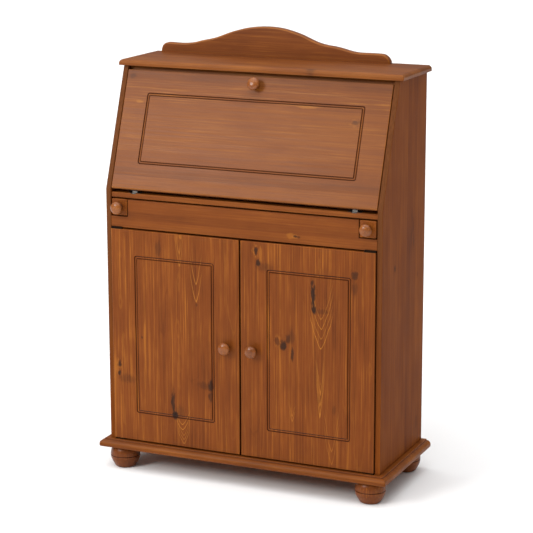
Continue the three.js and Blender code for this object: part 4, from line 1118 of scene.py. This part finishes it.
for s in ("left", "right"):
    (x0, y0, z0), (x1, y1, z1) = node_mm(f"door_knob_screw_{s}")
    put(f"door_knob_screw_{s}_fine", screw_head(((x0 + x1) / 2, y1 - 1.9, (z0 + z1) / 2), "-y", y1 - 1.9 - y0), M["steel"], f"{s}_door", "bright_steel", [f"door_knob_screw_{s}"], smooth=50)
put("fall_knob_screw_fine", screw_head((0, 16.8, 304.4), "-y", 27.0).move(lean), M["steel"], "drop_front", "bright_steel", ["fall_knob_screw"], smooth=50)


# =====================================================================================
# hinges and catches
# =====================================================================================
def tube(x0, x1, cy, cz, r_out, r_in, seg=32):
    """a knuckle: a short tube along X with eased rims"""
    e = 0.25
    prof_ = [(r_in, x0 + 0.02), (r_out - e, x0), (r_out, x0 + e), (r_out, x1 - e), (r_out - e, x1), (r_in, x1 - 0.02)]
    s, rings = Shape(), []
    for r, x in prof_:
        ring = []
        for j in range(seg):
            a = 2 * math.pi * j / seg
            s.v.append((x, cy + r * math.cos(a), cz + r * math.sin(a))); s.t.append(0.0)
            ring.append(len(s.v) - 1)
        rings.append(ring)
    rings.append(rings[0])
    for a, b in zip(rings, rings[1:]):
        for j in range(seg):
            m = (j + 1) % seg
            s.f.append((a[j], a[m], b[m], b[j]))
    return s


def sunk_screw(centre, axis, r=2.6):
    """the head of a countersunk screw, level with the plate, its round central recess and its rim painted dark as shade
    """
    return lathe([(0.0, -0.35), (0.7, -0.3), (1.1, 0.02), (r - 0.35, 0.05), (r, 0.0), (r, -0.5), (0.0, -0.55)][::-1], centre, axis, 24, [0, 0, -0.6, 0, 0, -1.0, -1.0])


for s, k in (("left", -1), ("right", 1)):
    x = 315 * k
    cs, sn = math.cos(SLOPE), math.sin(SLOPE)
    py = PIV_Y * cs - (PIV_Z - KNEE_Z) * sn
    pz = PIV_Y * sn + (PIV_Z - KNEE_Z) * cs
    leaf = bar(x - 19, x + 19, 15.0, 16.5, 3.2, 26, 0.45, 2, 0.0)
    leaf.add(bar(x - 7, x + 7, 15.0, 16.5, pz, 3.8, 0.3, 2, 0.0))
    leaf.add(tube(x - 7, x + 7, py, pz, 3.0, 1.35))
    for dx in (-11.5, 0, 11.5):
        leaf.add(sunk_screw((x + dx, 16.45, 17 if dx else 10), "y"))
    put(f"fall_hinge_leaf_{s}_fine", leaf.move(lean), M["steel"], "drop_front", "bright_steel", [f"fall_hinge_leaf_{s}"], smooth=40)
    leaf = bar(x - 19, x + 19, PIV_Y + 4.6, 38, wz1 - 1.5, wz1, 0.45, 2, 0.0)
    for a, b in ((-19, -7.4), (7.4, 19)):
        leaf.add(bar(x + a, x + b, PIV_Y + 0.2, PIV_Y + 5, wz1 - 1.5, wz1, 0.3, 2, 0.0))
        leaf.add(tube(x + a, x + b, PIV_Y, PIV_Z, 3.0, 1.35))
    for dx in (-11.5, 0, 11.5):
        leaf.add(sunk_screw((x + dx, 28 if dx else 22, wz1 - 0.05), "z"))
    put(f"board_hinge_leaf_{s}_fine", leaf, M["steel"], "carcass", "bright_steel", [f"board_hinge_leaf_{s}"], smooth=40)
    pin = lathe([(0, 0), (0.7, 0), (1.05, 0.4), (1.05, 37.6), (0.7, 38), (0, 38)], (x - 19, PIV_Y, PIV_Z), "x", 20)
    put(f"fall_hinge_pin_{s}_fine", pin, M["steel"], "carcass", "bright_steel", [f"fall_hinge_pin_{s}"], smooth=50)

# door pivot leaves keep their CAD shape; catches get a shaped body
for s in ("left", "right"):
    for n in (f"door_pivot_base_{s}", f"door_pivot_rail_{s}", f"door_leaf_lower_{s}", f"door_leaf_upper_{s}"):
        # the pivot leaves take the near-black painted shadow colour
        o = frame["nodes"][n]
        o.data.materials.clear()
        o.data.materials.append(M["bronze"])
    (x0, y0, z0), (x1, y1, z1) = node_mm(f"magnetic_catch_{s}")
    c = bar(x0, x1, y0 + 1.4, y1, z0, z1, 1.2, 3, 0.0)
    c.add(bar(x0 + 5, x0 + 7, y0, y0 + 6, z0 + 2.2, z1 - 2.2, 0.3, 2, 0.0))
    c.add(bar(x1 - 7, x1 - 5, y0, y0 + 6, z0 + 2.2, z1 - 2.2, 0.3, 2, 0.0))
    put(f"magnetic_catch_{s}_fine", c, M["catch"], "carcass", "catch_plastic", [f"magnetic_catch_{s}"])
    (x0, y0, z0), (x1, y1, z1) = node_mm(f"catch_plate_{s}")
    put(f"catch_plate_{s}_fine", bar(x0, x1, y0, y1, z0, z1, 0.4, 2, 0.0), M["steel"], f"{s}_door", "bright_steel", [f"catch_plate_{s}"])

# =====================================================================================
# studio
# =====================================================================================
N = Nodes("studio_floor")
P = N.position()
b = N.new("ShaderNodeBsdfPrincipled")
N.feed(b.inputs["Base Color"], N.mix(N.noise(P["v"], 0.002, 2.0, 0.5), (0.90, 0.90, 0.90), (0.93, 0.93, 0.93)))
b.inputs["Roughness"].default_value = 0.9
b.inputs["Specular IOR Level"].default_value = 0.05
out = N.new("ShaderNodeOutputMaterial")
N.nt.links.new(b.outputs[0], out.inputs[0])
me = bpy.data.meshes.new("floor")
S = 40.0
me.from_pydata([(-S, -S, 0), (S, -S, 0), (S, S, 0), (-S, S, 0)], [], [(0, 1, 2, 3)])
me.materials.append(N.mat)
floor = bpy.data.objects.new("floor", me)
bpy.context.scene.collection.objects.link(floor)
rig.stage(floor)

world = bpy.data.worlds.new("studio")
bpy.context.scene.world = world
world.use_nodes = True
wt = world.node_tree
bg = wt.nodes["Background"]
wtc = wt.nodes.new("ShaderNodeTexCoord")
wsep = wt.nodes.new("ShaderNodeSeparateXYZ")
wt.links.new(wtc.outputs["Generated"], wsep.inputs[0])
wr = wt.nodes.new("ShaderNodeValToRGB")
wr.color_ramp.elements[0].position, wr.color_ramp.elements[0].color = 0.0, (0.10, 0.10, 0.105, 1)
wr.color_ramp.elements[1].position, wr.color_ramp.elements[1].color = 1.0, (1.0, 1.0, 1.0, 1)
e = wr.color_ramp.elements.new(0.25)
e.color = (0.22, 0.22, 0.225, 1)
wt.links.new(wsep.outputs[2], wr.inputs[0])
wt.links.new(wr.outputs[0], bg.inputs[0])
bg.inputs[1].default_value = 1.1


def softbox(name, where, look_at, size, power, colour=(1, 1, 1)):
    d = bpy.data.lights.new(name, "AREA")
    d.shape = "RECTANGLE"
    d.size, d.size_y = size
    d.energy = power
    d.color = colour
    o = bpy.data.objects.new(name, d)
    bpy.context.scene.collection.objects.link(o)
    o.location = where
    o.rotation_euler = (Vector(look_at) - Vector(where)).to_track_quat("-Z", "Y").to_euler()
    return o


softbox("key", (-2.5, -4.3, 2.9), (0, 0, 0.6), (1.7, 1.4), 132, (1.0, 0.985, 0.96))
sun_data = bpy.data.lights.new("overhead", "SUN")
sun_data.energy = 2.0
sun_data.angle = math.radians(75)
sun = bpy.data.objects.new("overhead", sun_data)
bpy.context.scene.collection.objects.link(sun)
sun.rotation_euler = (math.radians(12), math.radians(-8), 0)
bpy.context.scene.view_settings.view_transform = "Standard"
bpy.context.scene.view_settings.look = "None"

for o in [x for x in bpy.data.objects if x.type == "MESH" and x.get("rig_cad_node") and not x.hide_render]:
    assert o.data.materials, o.name

lo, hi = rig.bounds()
json.dump({"cad": [list(CAD_LO), list(CAD_HI)], "visual": [list(lo), list(hi)]}, open("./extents.json", "w"))
